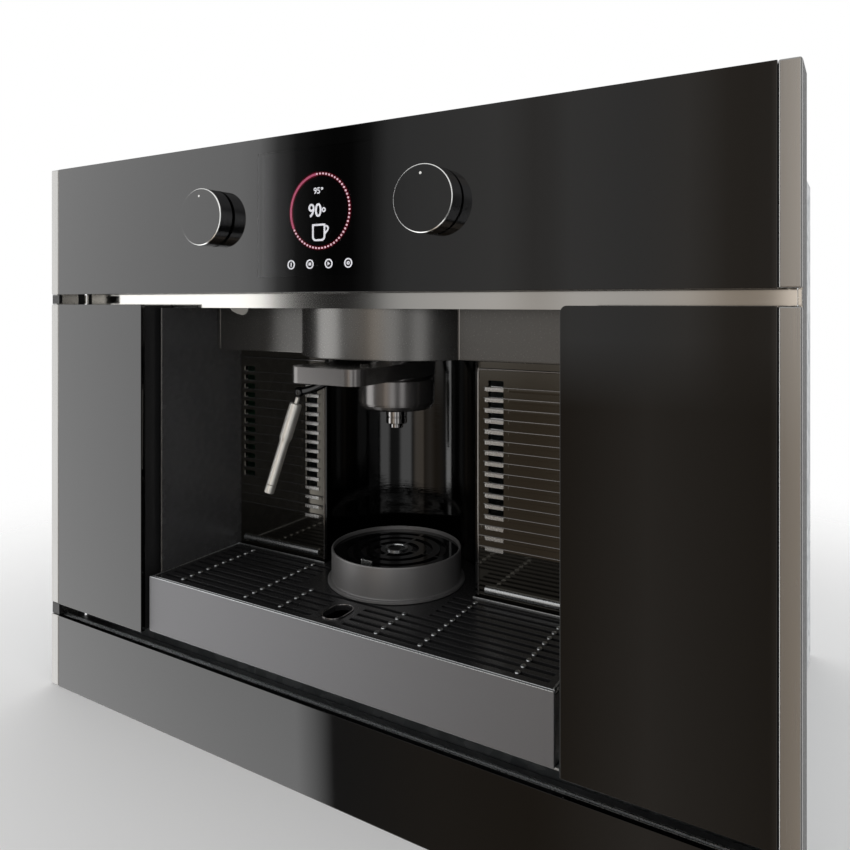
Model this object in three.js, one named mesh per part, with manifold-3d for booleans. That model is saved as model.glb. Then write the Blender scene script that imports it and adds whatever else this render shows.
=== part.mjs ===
// Built in coffee machine: a dark glass front with a brewing niche, for a 560 x 450 mm cabinet opening.
// Millimetres, +Z up. x runs to the right from the middle of the front, y runs into the cabinet from
// the face of the glass, and z starts at the lowest edge. The whole object is moved at the end so
// that the middle of its depth is at y = 0.
import * as THREE from "three";
import { mergeVertices } from "three/addons/utils/BufferGeometryUtils.js";
import Module from "manifold-3d";

const wasm = await Module();
wasm.setup();

// ---- driving dimensions ----
const CLEARANCE = 0.3; // between pieces that touch
const SHEET = 1.5; // carcass sheet metal
const WALL = 2; // moulded walls

const FRONT_WIDTH = 595;
const FRONT_HEIGHT = 455;
const BODY_DEPTH = 405; // from the glass face to the back
const GLASS = 4;
const STRIP_WIDTH = 10.35;
const SIDE_PANEL_WIDTH = 120.7; // a side panel of the middle band, with its strip
const FASCIA_HEIGHT = 110;
const FASCIA_GAP = 8.7; // between the fascia and the side panels
const LOWER_TOP = 62;
const LOWER_GAP = 10.4; // between the lower panel and the side panels
const HALF = FRONT_WIDTH / 2;
const STRIP_INNER = HALF - STRIP_WIDTH;
const PANEL_INNER = HALF - SIDE_PANEL_WIDTH;
const FASCIA_BOTTOM = FRONT_HEIGHT - FASCIA_HEIGHT;
const MIDDLE_TOP = FASCIA_BOTTOM - FASCIA_GAP;
const MIDDLE_BOTTOM = LOWER_TOP + LOWER_GAP;

// the stainless frame behind the three bands
const FRAME_FACE = 31.75;
const FRAME_SHEET = 1.2;
const FRAME_BACK = FRAME_FACE + FRAME_SHEET;
const FRAME_INSET = 4.5; // from the outer edges of the front
const FRAME_HALF = HALF - FRAME_INSET;
const BAR_OVERLAP = 2.6; // the cross bar reaches this far behind the side panels
const BAR_BOTTOM = MIDDLE_TOP - BAR_OVERLAP;
const BACKING_BACK = FRAME_FACE - 2 * CLEARANCE;
const TRIM = 2; // thin plate at each outer side of the front

// carcass
const FLANGE = 15; // how far the frame reaches past the carcass, where it is screwed on
const CASE_HALF = FRAME_HALF - FLANGE;
const CASE_FRONT = FRAME_BACK + 2 * CLEARANCE;
const SKID_HEIGHT = 3;
const CASE_DROP = 7; // from the top of the front to the top cover
const CASE_TOP = FRONT_HEIGHT - CASE_DROP;
const SHELF_TOP = MIDDLE_BOTTOM - 0.4;
const SHELF_BOTTOM = SHELF_TOP - SHEET - CLEARANCE;

// knobs and display
const KNOB_X = 94.9;
const KNOB_RISE = 55.7; // from the fascia's lower edge
const KNOB_Z = FASCIA_BOTTOM + KNOB_RISE;
const KNOB_RADIUS = 20.95;
const KNOB_REACH = 13;
const KNOB_GAP = 0.8;
const SHAFT_RADIUS = 3;
const SHAFT_FIT = 0.08;
const BUSHING_RADIUS = 4.6;
const DISPLAY_HALF = 54;

// niche
const NICHE_INSET = 5.3; // from the inner edges of the side panels
const NICHE_HALF = PANEL_INNER - NICHE_INSET;
const NICHE_FRONT = 16;
const NICHE_DROP = 40; // from the top of the side panels to the ceiling
const BACK_PANEL_FACE = 105;
const BACK_PANEL = 4;
const RECESS_RADIUS = 71;
const RECESS_EDGE = RECESS_RADIUS + SHEET + CLEARANCE;
const CEILING = MIDDLE_TOP - NICHE_DROP;
const HOUSING_FACE = BACK_PANEL_FACE - 29;
const HOUSING_TOP = FASCIA_BOTTOM + 27;
const NOSE_RADIUS = 81.5;
const NOSE_CENTRE = BACK_PANEL_FACE + 10;
const LOUVRE_PITCH = 7.95;

// brewing group, which hangs from the ceiling of the niche
const GROUP_Y = BACK_PANEL_FACE;
const HEAD_RADIUS = 36;
const HEAD_HEIGHT = 36.2;
const HEAD_BOTTOM = CEILING - 0.5;
const HEAD_TOP = HEAD_BOTTOM + HEAD_HEIGHT;
const NECK_RADIUS = 25.5;
const NECK_INSERTION = 7.7;
const NECK_LENGTH = 25.5;
const NECK_TOP = HEAD_BOTTOM + NECK_INSERTION;
const EAR_REACH = 29.5;
const EAR_HALF = 7;
const EAR_THICKNESS = 2.9;
const UNLOCK_ANGLE = 35;
const CUP_RADIUS = 30.6;
const CUP_HEIGHT = 24.2;
const CUP_TOP = NECK_TOP - NECK_LENGTH;
const CUP_BOTTOM = CUP_TOP - CUP_HEIGHT;
const BASKET_SEAT = CUP_BOTTOM + 9.2;
const BASKET_RADIUS = 23.2;
const HANDLE_HALF = 31.2;
const HANDLE_FRONT = 8.5;
const HANDLE_THICKNESS = 11.5;
const HANDLE_TOP = HEAD_BOTTOM - 3.2;
const HANDLE_BOTTOM = HANDLE_TOP - HANDLE_THICKNESS;

// steam wand
const WAND_POST = new THREE.Vector3(-54.5, BACK_PANEL_FACE - 12, 0);
const WAND_BALL = new THREE.Vector3(-78.5, BACK_PANEL_FACE - 26.4, CEILING - 32.3);
const WAND_TIP = new THREE.Vector3(-96.2, BACK_PANEL_FACE - 44.1, CEILING - 114.3);
const WAND_POST_RADIUS = 5;
const WAND_BALL_RADIUS = 4.4;
const WAND_RADIUS = 4.1;

// drip tray
const TRAY_HEIGHT = 45; // from the shelf to the top of the grille
const TRAY_FRONT_FACE = 4;
const TRAY_FRONT_THICKNESS = 3;
const GRILLE_TOP = SHELF_TOP + TRAY_HEIGHT;
const GRILLE_THICKNESS = 3.4;
const TRAY_FRONT_BOTTOM = SHELF_TOP + 1.7;
const TRAY_FRONT_TOP = GRILLE_TOP + CLEARANCE;
const TRAY_HALF = NICHE_HALF - 2 * CLEARANCE;
const TRAY_BACK = BACK_PANEL_FACE - 3.2;
const TRAY_ROUND = RECESS_RADIUS - 0.8;
const SLOT_FIRST = 15.4;
const SLOT_LAST = TRAY_BACK - 8.73;
const SLOT_WIDTH = 3.6;
const SLOT_ROWS = 10;
const SLOT_PITCH = (SLOT_LAST - SLOT_FIRST) / (SLOT_ROWS - 1);
const FINGER_HOLE_Y = 28;
const FINGER_HOLE_LENGTH = 29;
const FINGER_HOLE_WIDTH = 18;
const STAND_RADIUS = 51.9;
const STAND_FLANGE = STAND_RADIUS + 2.9;
const STAND_HEIGHT = 26.2;
const STAND_TOP = GRILLE_TOP + STAND_HEIGHT;
const STAND_WALL = 1.7;
const GRATE_SEAT = STAND_TOP - 5.7;

// water tank
const TANK_LEFT = PANEL_INNER + 4.2;
const TANK_RIGHT = CASE_HALF - 9;
const TANK_BACK = 215;
const TANK_TOP = MIDDLE_TOP - 51.3;
const TANK_WALL = 2.5;
const LID_FRONT = 48;
const LID_BACK = 130;
const LID_THICKNESS = 3;

// ---- solids ----
function solidOf(geometry) {
  const bare = geometry.index ? geometry.toNonIndexed() : geometry.clone();
  bare.deleteAttribute("normal");
  bare.deleteAttribute("uv");
  const merged = mergeVertices(bare, 1e-4);
  return new wasm.Manifold(
    new wasm.Mesh({
      numProp: 3,
      vertProperties: merged.attributes.position.array,
      triVerts: new Uint32Array(merged.index.array),
    }),
  );
}

function geometryOf(solid) {
  const made = solid.getMesh();
  const geometry = new THREE.BufferGeometry();
  geometry.setAttribute("position", new THREE.BufferAttribute(made.vertProperties, 3));
  geometry.setIndex(new THREE.BufferAttribute(made.triVerts, 1));
  geometry.computeVertexNormals();
  return geometry;
}

const join = (first, ...others) => others.reduce((sum, other) => sum.add(other), first);
const cut = (first, ...others) => others.reduce((rest, other) => rest.subtract(other), first);

function block(x0, x1, y0, y1, z0, z1) {
  const geometry = new THREE.BoxGeometry(x1 - x0, y1 - y0, z1 - z0);
  geometry.translate((x0 + x1) / 2, (y0 + y1) / 2, (z0 + z1) / 2);
  return solidOf(geometry);
}

// The same block on the left (side -1) or the right (side 1), given by its distances from the middle.
function sideBlock(side, near, far, y0, y1, z0, z1) {
  const x0 = Math.min(side * near, side * far);
  const x1 = Math.max(side * near, side * far);
  return block(x0, x1, y0, y1, z0, z1);
}

// An upright cylinder.
function disc(radius, x, y, z0, z1, segments = 32) {
  const geometry = new THREE.CylinderGeometry(radius, radius, z1 - z0, segments);
  geometry.rotateX(Math.PI / 2);
  geometry.translate(x, y, (z0 + z1) / 2);
  return solidOf(geometry);
}

// A cylinder that runs front to back.
function pin(radius, x, z, y0, y1, segments = 24) {
  const geometry = new THREE.CylinderGeometry(radius, radius, y1 - y0, segments);
  geometry.translate(x, (y0 + y1) / 2, z);
  return solidOf(geometry);
}

// A cylinder or cone between two points.
function rod(from, to, startRadius, endRadius = startRadius, segments = 14) {
  const along = to.clone().sub(from);
  const geometry = new THREE.CylinderGeometry(endRadius, startRadius, along.length(), segments);
  const turn = new THREE.Quaternion().setFromUnitVectors(
    new THREE.Vector3(0, 1, 0),
    along.clone().normalize(),
  );
  geometry.applyQuaternion(turn);
  const middle = from.clone().add(to).multiplyScalar(0.5);
  geometry.translate(middle.x, middle.y, middle.z);
  return solidOf(geometry);
}

// A body of revolution about an upright axis, from points [radius, height]. A profile that stays
// clear of the axis is a ring, so it is closed on its first point.
function turned(profile, x, y, segments = 36) {
  const points = profile.map(([radius, height]) => new THREE.Vector2(radius, height));
  if (profile[0][0] > 0) points.push(points[0].clone());
  const geometry = new THREE.LatheGeometry(points, segments);
  geometry.rotateX(Math.PI / 2);
  geometry.translate(x, y, 0);
  return facingOut(geometry);
}

// A lathe profile can come out inside out, which its volume shows.
function facingOut(geometry) {
  const made = solidOf(geometry);
  if (made.volume() > 0) return made;
  const flipped = geometry.toNonIndexed();
  const position = flipped.attributes.position;
  for (let i = 0; i < position.count; i += 3) {
    const corner = new THREE.Vector3().fromBufferAttribute(position, i + 1);
    const other = new THREE.Vector3().fromBufferAttribute(position, i + 2);
    position.setXYZ(i + 1, other.x, other.y, other.z);
    position.setXYZ(i + 2, corner.x, corner.y, corner.z);
  }
  return solidOf(flipped);
}

// A flat shape drawn in x and y, standing from z0 to z1.
function slab(shape, z0, z1, curveSegments = 24) {
  const geometry = new THREE.ExtrudeGeometry(shape, {
    depth: z1 - z0,
    bevelEnabled: false,
    curveSegments,
  });
  geometry.translate(0, 0, z0);
  return solidOf(geometry);
}

// A flat shape drawn in x and z, running back from y0 to y1.
function frontSlab(shape, y0, y1, curveSegments = 12) {
  const geometry = new THREE.ExtrudeGeometry(shape, {
    depth: y1 - y0,
    bevelEnabled: false,
    curveSegments,
  });
  geometry.rotateX(Math.PI / 2);
  geometry.translate(0, y1, 0);
  return solidOf(geometry);
}

// A rectangle whose two ends along y are half circles.
function stadium(x, y, width, length) {
  const radius = width / 2;
  const straight = (length - width) / 2;
  const shape = new THREE.Shape();
  shape.absarc(x, y + straight, radius, 0, Math.PI, false);
  shape.absarc(x, y - straight, radius, Math.PI, 2 * Math.PI, false);
  shape.closePath();
  return shape;
}

// ---- carcass ----
// Evenly spaced positions.
const spread = (first, step, count) => Array.from({ length: count }, (_, i) => first + i * step);

const VENT_HALF_WIDTH = 2.5;
const VENT_PITCH = 14;

// A row of slots, each long from front to back, cut through a sheet that lies flat.
function flatVents(firstX, count, y0, y1, z0, z1) {
  return spread(firstX, VENT_PITCH, count).map((x) =>
    block(x - VENT_HALF_WIDTH, x + VENT_HALF_WIDTH, y0, y1, z0 - 1, z1 + 1),
  );
}

function basePlate() {
  const z0 = SKID_HEIGHT;
  const z1 = z0 + SHEET;
  const sheet = block(-CASE_HALF, CASE_HALF, CASE_FRONT, BODY_DEPTH, z0, z1);
  const ventFront = BODY_DEPTH - 125;
  const ventBack = BODY_DEPTH - 45;
  return cut(sheet, ...flatVents(120, 8, ventFront, ventBack, z0, z1));
}

function sidePlate(side) {
  const z0 = SKID_HEIGHT + SHEET + CLEARANCE;
  const z1 = CASE_TOP - SHEET - CLEARANCE;
  return sideBlock(side, CASE_HALF - SHEET, CASE_HALF, CASE_FRONT, BODY_DEPTH, z0, z1);
}

function topCover() {
  const z0 = CASE_TOP - SHEET;
  const sheet = block(-CASE_HALF, CASE_HALF, CASE_FRONT, BODY_DEPTH, z0, CASE_TOP);
  const ventFront = BODY_DEPTH - 155;
  const ventBack = BODY_DEPTH - 65;
  const left = flatVents(48 - CASE_HALF, 10, ventFront, ventBack, z0, CASE_TOP);
  const right = flatVents(CASE_HALF - 174, 10, ventFront, ventBack, z0, CASE_TOP);
  return cut(sheet, ...left, ...right);
}

const INLET_X = 58 - CASE_HALF;
const INLET_Z = 110;
const INLET_HALF_WIDTH = 24;
const INLET_HALF_HEIGHT = 14;
const REAR_VENT_HALF = 120;
const REAR_VENT_BOTTOM = CASE_TOP - 148;
const REAR_VENT_PITCH = 13;
const REAR_VENT_HEIGHT = 5;

function rearCover() {
  const half = CASE_HALF - SHEET - CLEARANCE;
  const z0 = SKID_HEIGHT + SHEET + CLEARANCE;
  const z1 = CASE_TOP - SHEET - CLEARANCE;
  const y0 = BODY_DEPTH - SHEET;
  const sheet = block(-half, half, y0, BODY_DEPTH, z0, z1);
  const vents = spread(REAR_VENT_BOTTOM, REAR_VENT_PITCH, 8).map((z) =>
    block(-REAR_VENT_HALF, REAR_VENT_HALF, y0 - 1, BODY_DEPTH + 1, z, z + REAR_VENT_HEIGHT),
  );
  const window = block(
    INLET_X - INLET_HALF_WIDTH - CLEARANCE,
    INLET_X + INLET_HALF_WIDTH + CLEARANCE,
    y0 - 1,
    BODY_DEPTH + 1,
    INLET_Z - INLET_HALF_HEIGHT - CLEARANCE,
    INLET_Z + INLET_HALF_HEIGHT + CLEARANCE,
  );
  return cut(sheet, ...vents, window);
}

// Appliance socket, sunk in the rear cover, with its three blades.
function powerInlet() {
  const back = BODY_DEPTH - 0.5;
  const shellDepth = 24;
  const shell = block(
    INLET_X - INLET_HALF_WIDTH,
    INLET_X + INLET_HALF_WIDTH,
    back - shellDepth,
    back,
    INLET_Z - INLET_HALF_HEIGHT,
    INLET_Z + INLET_HALF_HEIGHT,
  );
  const sideReach = 5;
  const upReach = 3;
  const flange = block(
    INLET_X - INLET_HALF_WIDTH - sideReach,
    INLET_X + INLET_HALF_WIDTH + sideReach,
    BODY_DEPTH - SHEET - 3,
    BODY_DEPTH - SHEET - CLEARANCE,
    INLET_Z - INLET_HALF_HEIGHT - upReach,
    INLET_Z + INLET_HALF_HEIGHT + upReach,
  );
  const mouthHalf = 12;
  const mouthUp = 8;
  const mouth = block(
    INLET_X - mouthHalf,
    INLET_X + mouthHalf,
    back - 17,
    back + 1,
    INLET_Z - mouthUp,
    INLET_Z + mouthUp,
  );
  const blade = (x, z) => block(x - 1, x + 1, back - 20, back - 6, z - 2, z + 2);
  const bladeSpacing = 6.5;
  const bladeOffset = 3;
  return join(
    cut(join(shell, flange), mouth),
    blade(INLET_X, INLET_Z + bladeOffset),
    blade(INLET_X - bladeSpacing, INLET_Z - bladeOffset),
    blade(INLET_X + bladeSpacing, INLET_Z - bladeOffset),
  );
}

const SKID_WIDTH = 20;
const SKID_FAR = CASE_HALF - 8;
const SKID_NEAR = SKID_FAR - SKID_WIDTH;
const SKID_FRONT = 60;
const SKID_BACK = BODY_DEPTH - 15;
const SKID_CHAMFER = 1;

// Glide rail under the base: its underside is what the machine stands on.
function skid(side) {
  const rail = new THREE.Shape();
  const near = side * SKID_NEAR;
  const far = side * SKID_FAR;
  const top = SKID_HEIGHT - CLEARANCE;
  rail.moveTo(near, top);
  rail.lineTo(far, top);
  rail.lineTo(far - side * SKID_CHAMFER, 0);
  rail.lineTo(near + side * SKID_CHAMFER, 0);
  rail.closePath();
  return frontSlab(rail, SKID_FRONT, SKID_BACK);
}

// ---- front frame ----
function frontCrossbar() {
  const bar = block(
    -FRAME_HALF,
    FRAME_HALF,
    FRAME_FACE,
    FRAME_BACK,
    BAR_BOTTOM,
    CASE_TOP - SHEET - CLEARANCE,
  );
  const windowLeft = 120;
  const windowRight = 180;
  const windowBottom = FASCIA_BOTTOM + 40;
  const windowTop = FASCIA_BOTTOM + 75;
  const cableWindow = block(
    windowLeft,
    windowRight,
    FRAME_FACE - 1,
    FRAME_BACK + 1,
    windowBottom,
    windowTop,
  );
  return cut(bar, cableWindow);
}

function frontLowerBar() {
  const z1 = SHELF_BOTTOM - CLEARANCE;
  return block(-FRAME_HALF, FRAME_HALF, FRAME_FACE, FRAME_BACK, SKID_HEIGHT, z1);
}

const STILE_BOTTOM = SHELF_BOTTOM;
const STILE_TOP = BAR_BOTTOM - CLEARANCE;

const HEM_INNER = CASE_HALF + 1;
const HEM_BACK = FRAME_BACK + FRAME_SHEET;

// Upright of the front frame. Its outer edge is folded back on itself, and this hem bears on the
// edge of the cabinet.
function frontStile(side, inner) {
  const sheet = sideBlock(side, inner, FRAME_HALF, FRAME_FACE, FRAME_BACK, STILE_BOTTOM, STILE_TOP);
  const hemFront = FRAME_BACK - FRAME_SHEET / 2;
  const hem = sideBlock(side, HEM_INNER, FRAME_HALF, hemFront, HEM_BACK, STILE_BOTTOM, STILE_TOP);
  return join(sheet, hem);
}

const STILE_LEFT_INNER = NICHE_HALF + SHEET + CLEARANCE;
const STILE_RIGHT_INNER = TANK_RIGHT + 4; // narrow, so that the water tank passes beside it

function sideTrim(side) {
  return sideBlock(
    side,
    HALF - TRIM,
    HALF,
    GLASS + CLEARANCE,
    FRAME_FACE - CLEARANCE,
    0,
    FRONT_HEIGHT,
  );
}

// ---- front bands ----
const LEG = 1.5;
const LEG_BACK = 12;

// Stainless strip at an outer end of a band: a flat face with a leg that holds it to the backing.
function edgeStrip(side, z0, z1) {
  const face = sideBlock(side, STRIP_INNER, HALF, 0, GLASS, z0, z1);
  const legOuter = HALF - TRIM - CLEARANCE;
  const leg = sideBlock(side, legOuter - LEG, legOuter, GLASS - 1, LEG_BACK, z0 + 1, z1 - 1);
  return join(face, leg);
}

const BACKING_OUTER = HALF - TRIM - CLEARANCE - LEG - CLEARANCE;

// Open moulded tray behind a glass panel.
function backing(x0, x1, y0, z0, z1) {
  const outside = block(x0, x1, y0, BACKING_BACK, z0, z1);
  const inside = block(x0 + WALL, x1 - WALL, y0 - 1, BACKING_BACK - WALL, z0 + WALL, z1 - WALL);
  return cut(outside, inside);
}

const BAND_INSET = 0.7; // the backings end a little short of the glass edges
const BACKING_FRONT = GLASS + CLEARANCE;

function fasciaGlass() {
  const edge = STRIP_INNER - CLEARANCE;
  const sheet = block(-edge, edge, 0, GLASS, FASCIA_BOTTOM, FRONT_HEIGHT);
  const hole = (x) => pin(BUSHING_RADIUS + CLEARANCE, x, KNOB_Z, -1, GLASS + 1);
  return cut(sheet, hole(-KNOB_X), hole(KNOB_X));
}

function fasciaHousing() {
  return backing(
    -BACKING_OUTER,
    BACKING_OUTER,
    BACKING_FRONT,
    FASCIA_BOTTOM + BAND_INSET,
    FRONT_HEIGHT - BAND_INSET,
  );
}

function leftGlass() {
  const outer = STRIP_INNER - CLEARANCE;
  return block(-outer, -PANEL_INNER, 0, GLASS, MIDDLE_BOTTOM, MIDDLE_TOP);
}

function leftBacking() {
  const inner = PANEL_INNER + CLEARANCE;
  const z0 = MIDDLE_BOTTOM + BAND_INSET;
  return backing(-BACKING_OUTER, -inner, BACKING_FRONT, z0, MIDDLE_TOP - BAND_INSET);
}

const DOOR_CORNER = 4; // radius of the upper inner corner of the right hand panel

// Rectangle in x and z whose upper left corner is rounded.
function doorOutline(x0, x1, z0, z1) {
  const shape = new THREE.Shape();
  shape.moveTo(x0, z0);
  shape.lineTo(x1, z0);
  shape.lineTo(x1, z1);
  shape.lineTo(x0 + DOOR_CORNER, z1);
  shape.absarc(x0 + DOOR_CORNER, z1 - DOOR_CORNER, DOOR_CORNER, Math.PI / 2, Math.PI, false);
  shape.closePath();
  return shape;
}

function rightGlass() {
  const outer = STRIP_INNER - CLEARANCE;
  return frontSlab(doorOutline(PANEL_INNER, outer, MIDDLE_BOTTOM, MIDDLE_TOP), 0, GLASS);
}

function rightBacking() {
  const x0 = PANEL_INNER + CLEARANCE;
  const z0 = MIDDLE_BOTTOM + BAND_INSET;
  const z1 = MIDDLE_TOP - BAND_INSET;
  const outside = frontSlab(doorOutline(x0, BACKING_OUTER, z0, z1), BACKING_FRONT, BACKING_BACK);
  const inside = frontSlab(
    doorOutline(x0 + WALL, BACKING_OUTER - WALL, z0 + WALL, z1 - WALL),
    BACKING_FRONT - 1,
    BACKING_BACK - WALL,
  );
  return cut(outside, inside);
}

function lowerGlass() {
  const outer = STRIP_INNER - CLEARANCE;
  return block(-outer, outer, 0, GLASS, 0, LOWER_TOP);
}

const RAIL_BACK = 8.3;
const RAIL_SHEET = 1.3;
const LOWER_BACKING_TOP = LOWER_TOP - 12;

// Aluminium angle that caps the lower panel behind the glass.
function lowerRail() {
  const outer = STRIP_INNER - CLEARANCE;
  const cap = block(-outer, outer, BACKING_FRONT, RAIL_BACK, LOWER_TOP - RAIL_SHEET, LOWER_TOP);
  const legTop = LOWER_TOP - RAIL_SHEET / 2;
  const leg = block(
    -outer,
    outer,
    RAIL_BACK - RAIL_SHEET,
    RAIL_BACK,
    LOWER_BACKING_TOP,
    legTop,
  );
  return join(cap, leg);
}

function lowerBacking() {
  const y0 = RAIL_BACK + CLEARANCE;
  return backing(-BACKING_OUTER, BACKING_OUTER, y0, BAND_INSET, LOWER_BACKING_TOP);
}

// ---- display and controls ----
const DISPLAY_BOTTOM = FASCIA_BOTTOM + 7;
const DISPLAY_TOP = FRONT_HEIGHT - 7;
const DISPLAY_BACK = 13.6;
const DISPLAY_RIM = 4;
const DISPLAY_FLOOR = 8;

// Framed screen: the picture lies on the floor of its shallow window.
function displayModule() {
  const y0 = BACKING_FRONT + CLEARANCE;
  const half = DISPLAY_HALF - DISPLAY_RIM;
  const windowBottom = DISPLAY_BOTTOM + DISPLAY_RIM;
  const windowTop = DISPLAY_TOP - DISPLAY_RIM;
  const frame = block(
    -DISPLAY_HALF,
    DISPLAY_HALF,
    y0,
    DISPLAY_BACK,
    DISPLAY_BOTTOM,
    DISPLAY_TOP,
  );
  return cut(frame, block(-half, half, GLASS, DISPLAY_FLOOR, windowBottom, windowTop));
}

const BOARD_SHEET = 1.6;
const CONTROL_BOARD_FRONT = 16;
const CONTROL_BOARD_HALF = 78;

// Board behind the screen, with its processor, two plugs and a capacitor on the rear face.
function controlBoard() {
  const y1 = CONTROL_BOARD_FRONT + BOARD_SHEET;
  const onBoard = (x0, x1, up, high, height) =>
    block(x0, x1, y1 - 0.6, y1 + height, DISPLAY_BOTTOM + up, DISPLAY_BOTTOM + up + high);
  return join(
    block(
      -CONTROL_BOARD_HALF,
      CONTROL_BOARD_HALF,
      CONTROL_BOARD_FRONT,
      y1,
      DISPLAY_BOTTOM + 2,
      DISPLAY_TOP - 2,
    ),
    onBoard(-12, 12, 38, 24, 2.4),
    onBoard(-70, -46, 8, 16, 9.4),
    onBoard(40, 70, 72, 10, 7.4),
    onBoard(44, 60, 8, 16, 9.4),
  );
}

const ENCODER_FRONT = 15;
const ENCODER_HALF = 8;
const SHAFT_END = 21;

function encoder(side) {
  const x = side * KNOB_X;
  const body = block(
    x - ENCODER_HALF,
    x + ENCODER_HALF,
    ENCODER_FRONT,
    BACKING_BACK - WALL - CLEARANCE,
    KNOB_Z - ENCODER_HALF,
    KNOB_Z + ENCODER_HALF,
  );
  const bushing = pin(BUSHING_RADIUS, x, KNOB_Z, 0.6, ENCODER_FRONT + 1);
  const bore = pin(SHAFT_RADIUS + SHAFT_FIT, x, KNOB_Z, 0, SHAFT_END + 1);
  return cut(join(body, bushing), bore);
}

// Turning knob with its shaft: the shaft runs in the encoder behind the glass.
function knob(side) {
  const chamfer = 0.9;
  const skirt = 2.4;
  const hub = 7;
  const web = 4;
  const profile = [
    [0, -KNOB_REACH],
    [KNOB_RADIUS - chamfer, -KNOB_REACH],
    [KNOB_RADIUS, -KNOB_REACH + chamfer],
    [KNOB_RADIUS, -KNOB_GAP],
    [KNOB_RADIUS - skirt, -KNOB_GAP],
    [KNOB_RADIUS - skirt, -KNOB_REACH + web],
    [hub, -KNOB_REACH + web],
    [hub, -KNOB_GAP],
    [SHAFT_RADIUS, -KNOB_GAP],
    [SHAFT_RADIUS, SHAFT_END],
    [0, SHAFT_END],
  ];
  const points = profile.map(([radius, depth]) => new THREE.Vector2(radius, depth));
  const geometry = new THREE.LatheGeometry(points, 36);
  geometry.translate(side * KNOB_X, 0, KNOB_Z);
  return facingOut(geometry);
}

// ---- niche ----
function nicheWall(side) {
  const y1 = BACK_PANEL_FACE + BACK_PANEL;
  return sideBlock(
    side,
    NICHE_HALF,
    NICHE_HALF + SHEET,
    NICHE_FRONT,
    y1,
    SHELF_TOP + CLEARANCE,
    STILE_TOP,
  );
}

const SHELF_FRONT = 9;
const SHELF_BACK = TANK_BACK + 25;

// Floor of the niche and of the tank bay.
function floorShelf() {
  const z0 = SHELF_BOTTOM + CLEARANCE;
  const wide = CASE_HALF - SHEET - CLEARANCE;
  const recessBack = BACK_PANEL_FACE + RECESS_EDGE + WALL;
  return join(
    block(-NICHE_HALF - SHEET, NICHE_HALF + SHEET, SHELF_FRONT, recessBack, z0, SHELF_TOP),
    block(-wide, wide, CASE_FRONT, SHELF_BACK, z0, SHELF_TOP),
  );
}

const PANEL_OUTER = NICHE_HALF - CLEARANCE;
const LADDER_WIDTH = 12;
const LADDER_BARS = 13;
const LADDER_TOP = CEILING - 16.7;
const OPENING_HEIGHT = 4.4;
const SLAT_COUNT = 16;
const SLAT_GROOVE = 2.6;
const SLAT_DEPTH = 1.4;
const SLAT_GAP = 4;
const LIP_RADIUS = 2.9;
const LIP_Z = GRILLE_TOP + 6.4;
const LIP_START = RECESS_EDGE + 6.5;
const LIP_END = PANEL_OUTER - 6;
const INNER_LADDER = RECESS_EDGE + 9; // nearest edge of each ladder column to the middle
const OUTER_LADDER = PANEL_OUTER - 5 - LADDER_WIDTH;

// Back panel of the niche: two ladder columns of openings with plain slats between them.
function louvrePanel(side) {
  const top = CEILING - CLEARANCE;
  const y1 = BACK_PANEL_FACE + BACK_PANEL;
  const sheet = sideBlock(
    side,
    RECESS_EDGE,
    PANEL_OUTER,
    BACK_PANEL_FACE,
    y1,
    SHELF_TOP + CLEARANCE,
    top,
  );
  const openings = [];
  for (const near of [INNER_LADDER, OUTER_LADDER]) {
    for (let bar = 0; bar < LADDER_BARS; bar++) {
      const z1 = LADDER_TOP - bar * LOUVRE_PITCH;
      openings.push(
        sideBlock(
          side,
          near,
          near + LADDER_WIDTH,
          BACK_PANEL_FACE - 1,
          y1 + 1,
          z1 - OPENING_HEIGHT,
          z1,
        ),
      );
    }
  }
  for (let slat = 0; slat < SLAT_COUNT; slat++) {
    const z1 = LADDER_TOP - slat * LOUVRE_PITCH;
    const besideLadder = slat < LADDER_BARS;
    openings.push(
      sideBlock(
        side,
        besideLadder ? INNER_LADDER + LADDER_WIDTH + SLAT_GAP : INNER_LADDER,
        besideLadder ? OUTER_LADDER - SLAT_GAP : OUTER_LADDER + LADDER_WIDTH,
        BACK_PANEL_FACE - 1,
        BACK_PANEL_FACE + SLAT_DEPTH,
        z1 - SLAT_GROOVE,
        z1,
      ),
    );
  }
  const lipY = BACK_PANEL_FACE; // so the grille passes in front of it when it is lifted
  const lip = rod(
    new THREE.Vector3(side * LIP_START, lipY, LIP_Z),
    new THREE.Vector3(side * LIP_END, lipY, LIP_Z),
    LIP_RADIUS,
    LIP_RADIUS,
    16,
  );
  return join(cut(sheet, ...openings), lip);
}

// Half round wall behind the cup space.
function recessWall() {
  const outer = RECESS_RADIUS + SHEET;
  const shape = new THREE.Shape();
  shape.absarc(0, BACK_PANEL_FACE, outer, 0, Math.PI, false);
  shape.absarc(0, BACK_PANEL_FACE, RECESS_RADIUS, Math.PI, 0, true);
  shape.closePath();
  return slab(shape, SHELF_TOP + CLEARANCE, CEILING - CLEARANCE, 24);
}

// Plan of the housing: flats at both sides and a round nose between them, moved in by an offset.
function housingPlan(offset, back) {
  const face = HOUSING_FACE + offset;
  const radius = NOSE_RADIUS - offset;
  const side = PANEL_OUTER - offset;
  const drop = NOSE_CENTRE - face;
  const half = Math.sqrt(radius * radius - drop * drop);
  const start = Math.atan2(-drop, -half);
  const end = Math.atan2(-drop, half);
  const shape = new THREE.Shape();
  shape.moveTo(-side, back);
  shape.lineTo(-side, face);
  shape.lineTo(-half, face);
  shape.absarc(0, NOSE_CENTRE, radius, start, end, false);
  shape.lineTo(side, face);
  shape.lineTo(side, back);
  shape.closePath();
  return shape;
}

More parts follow.
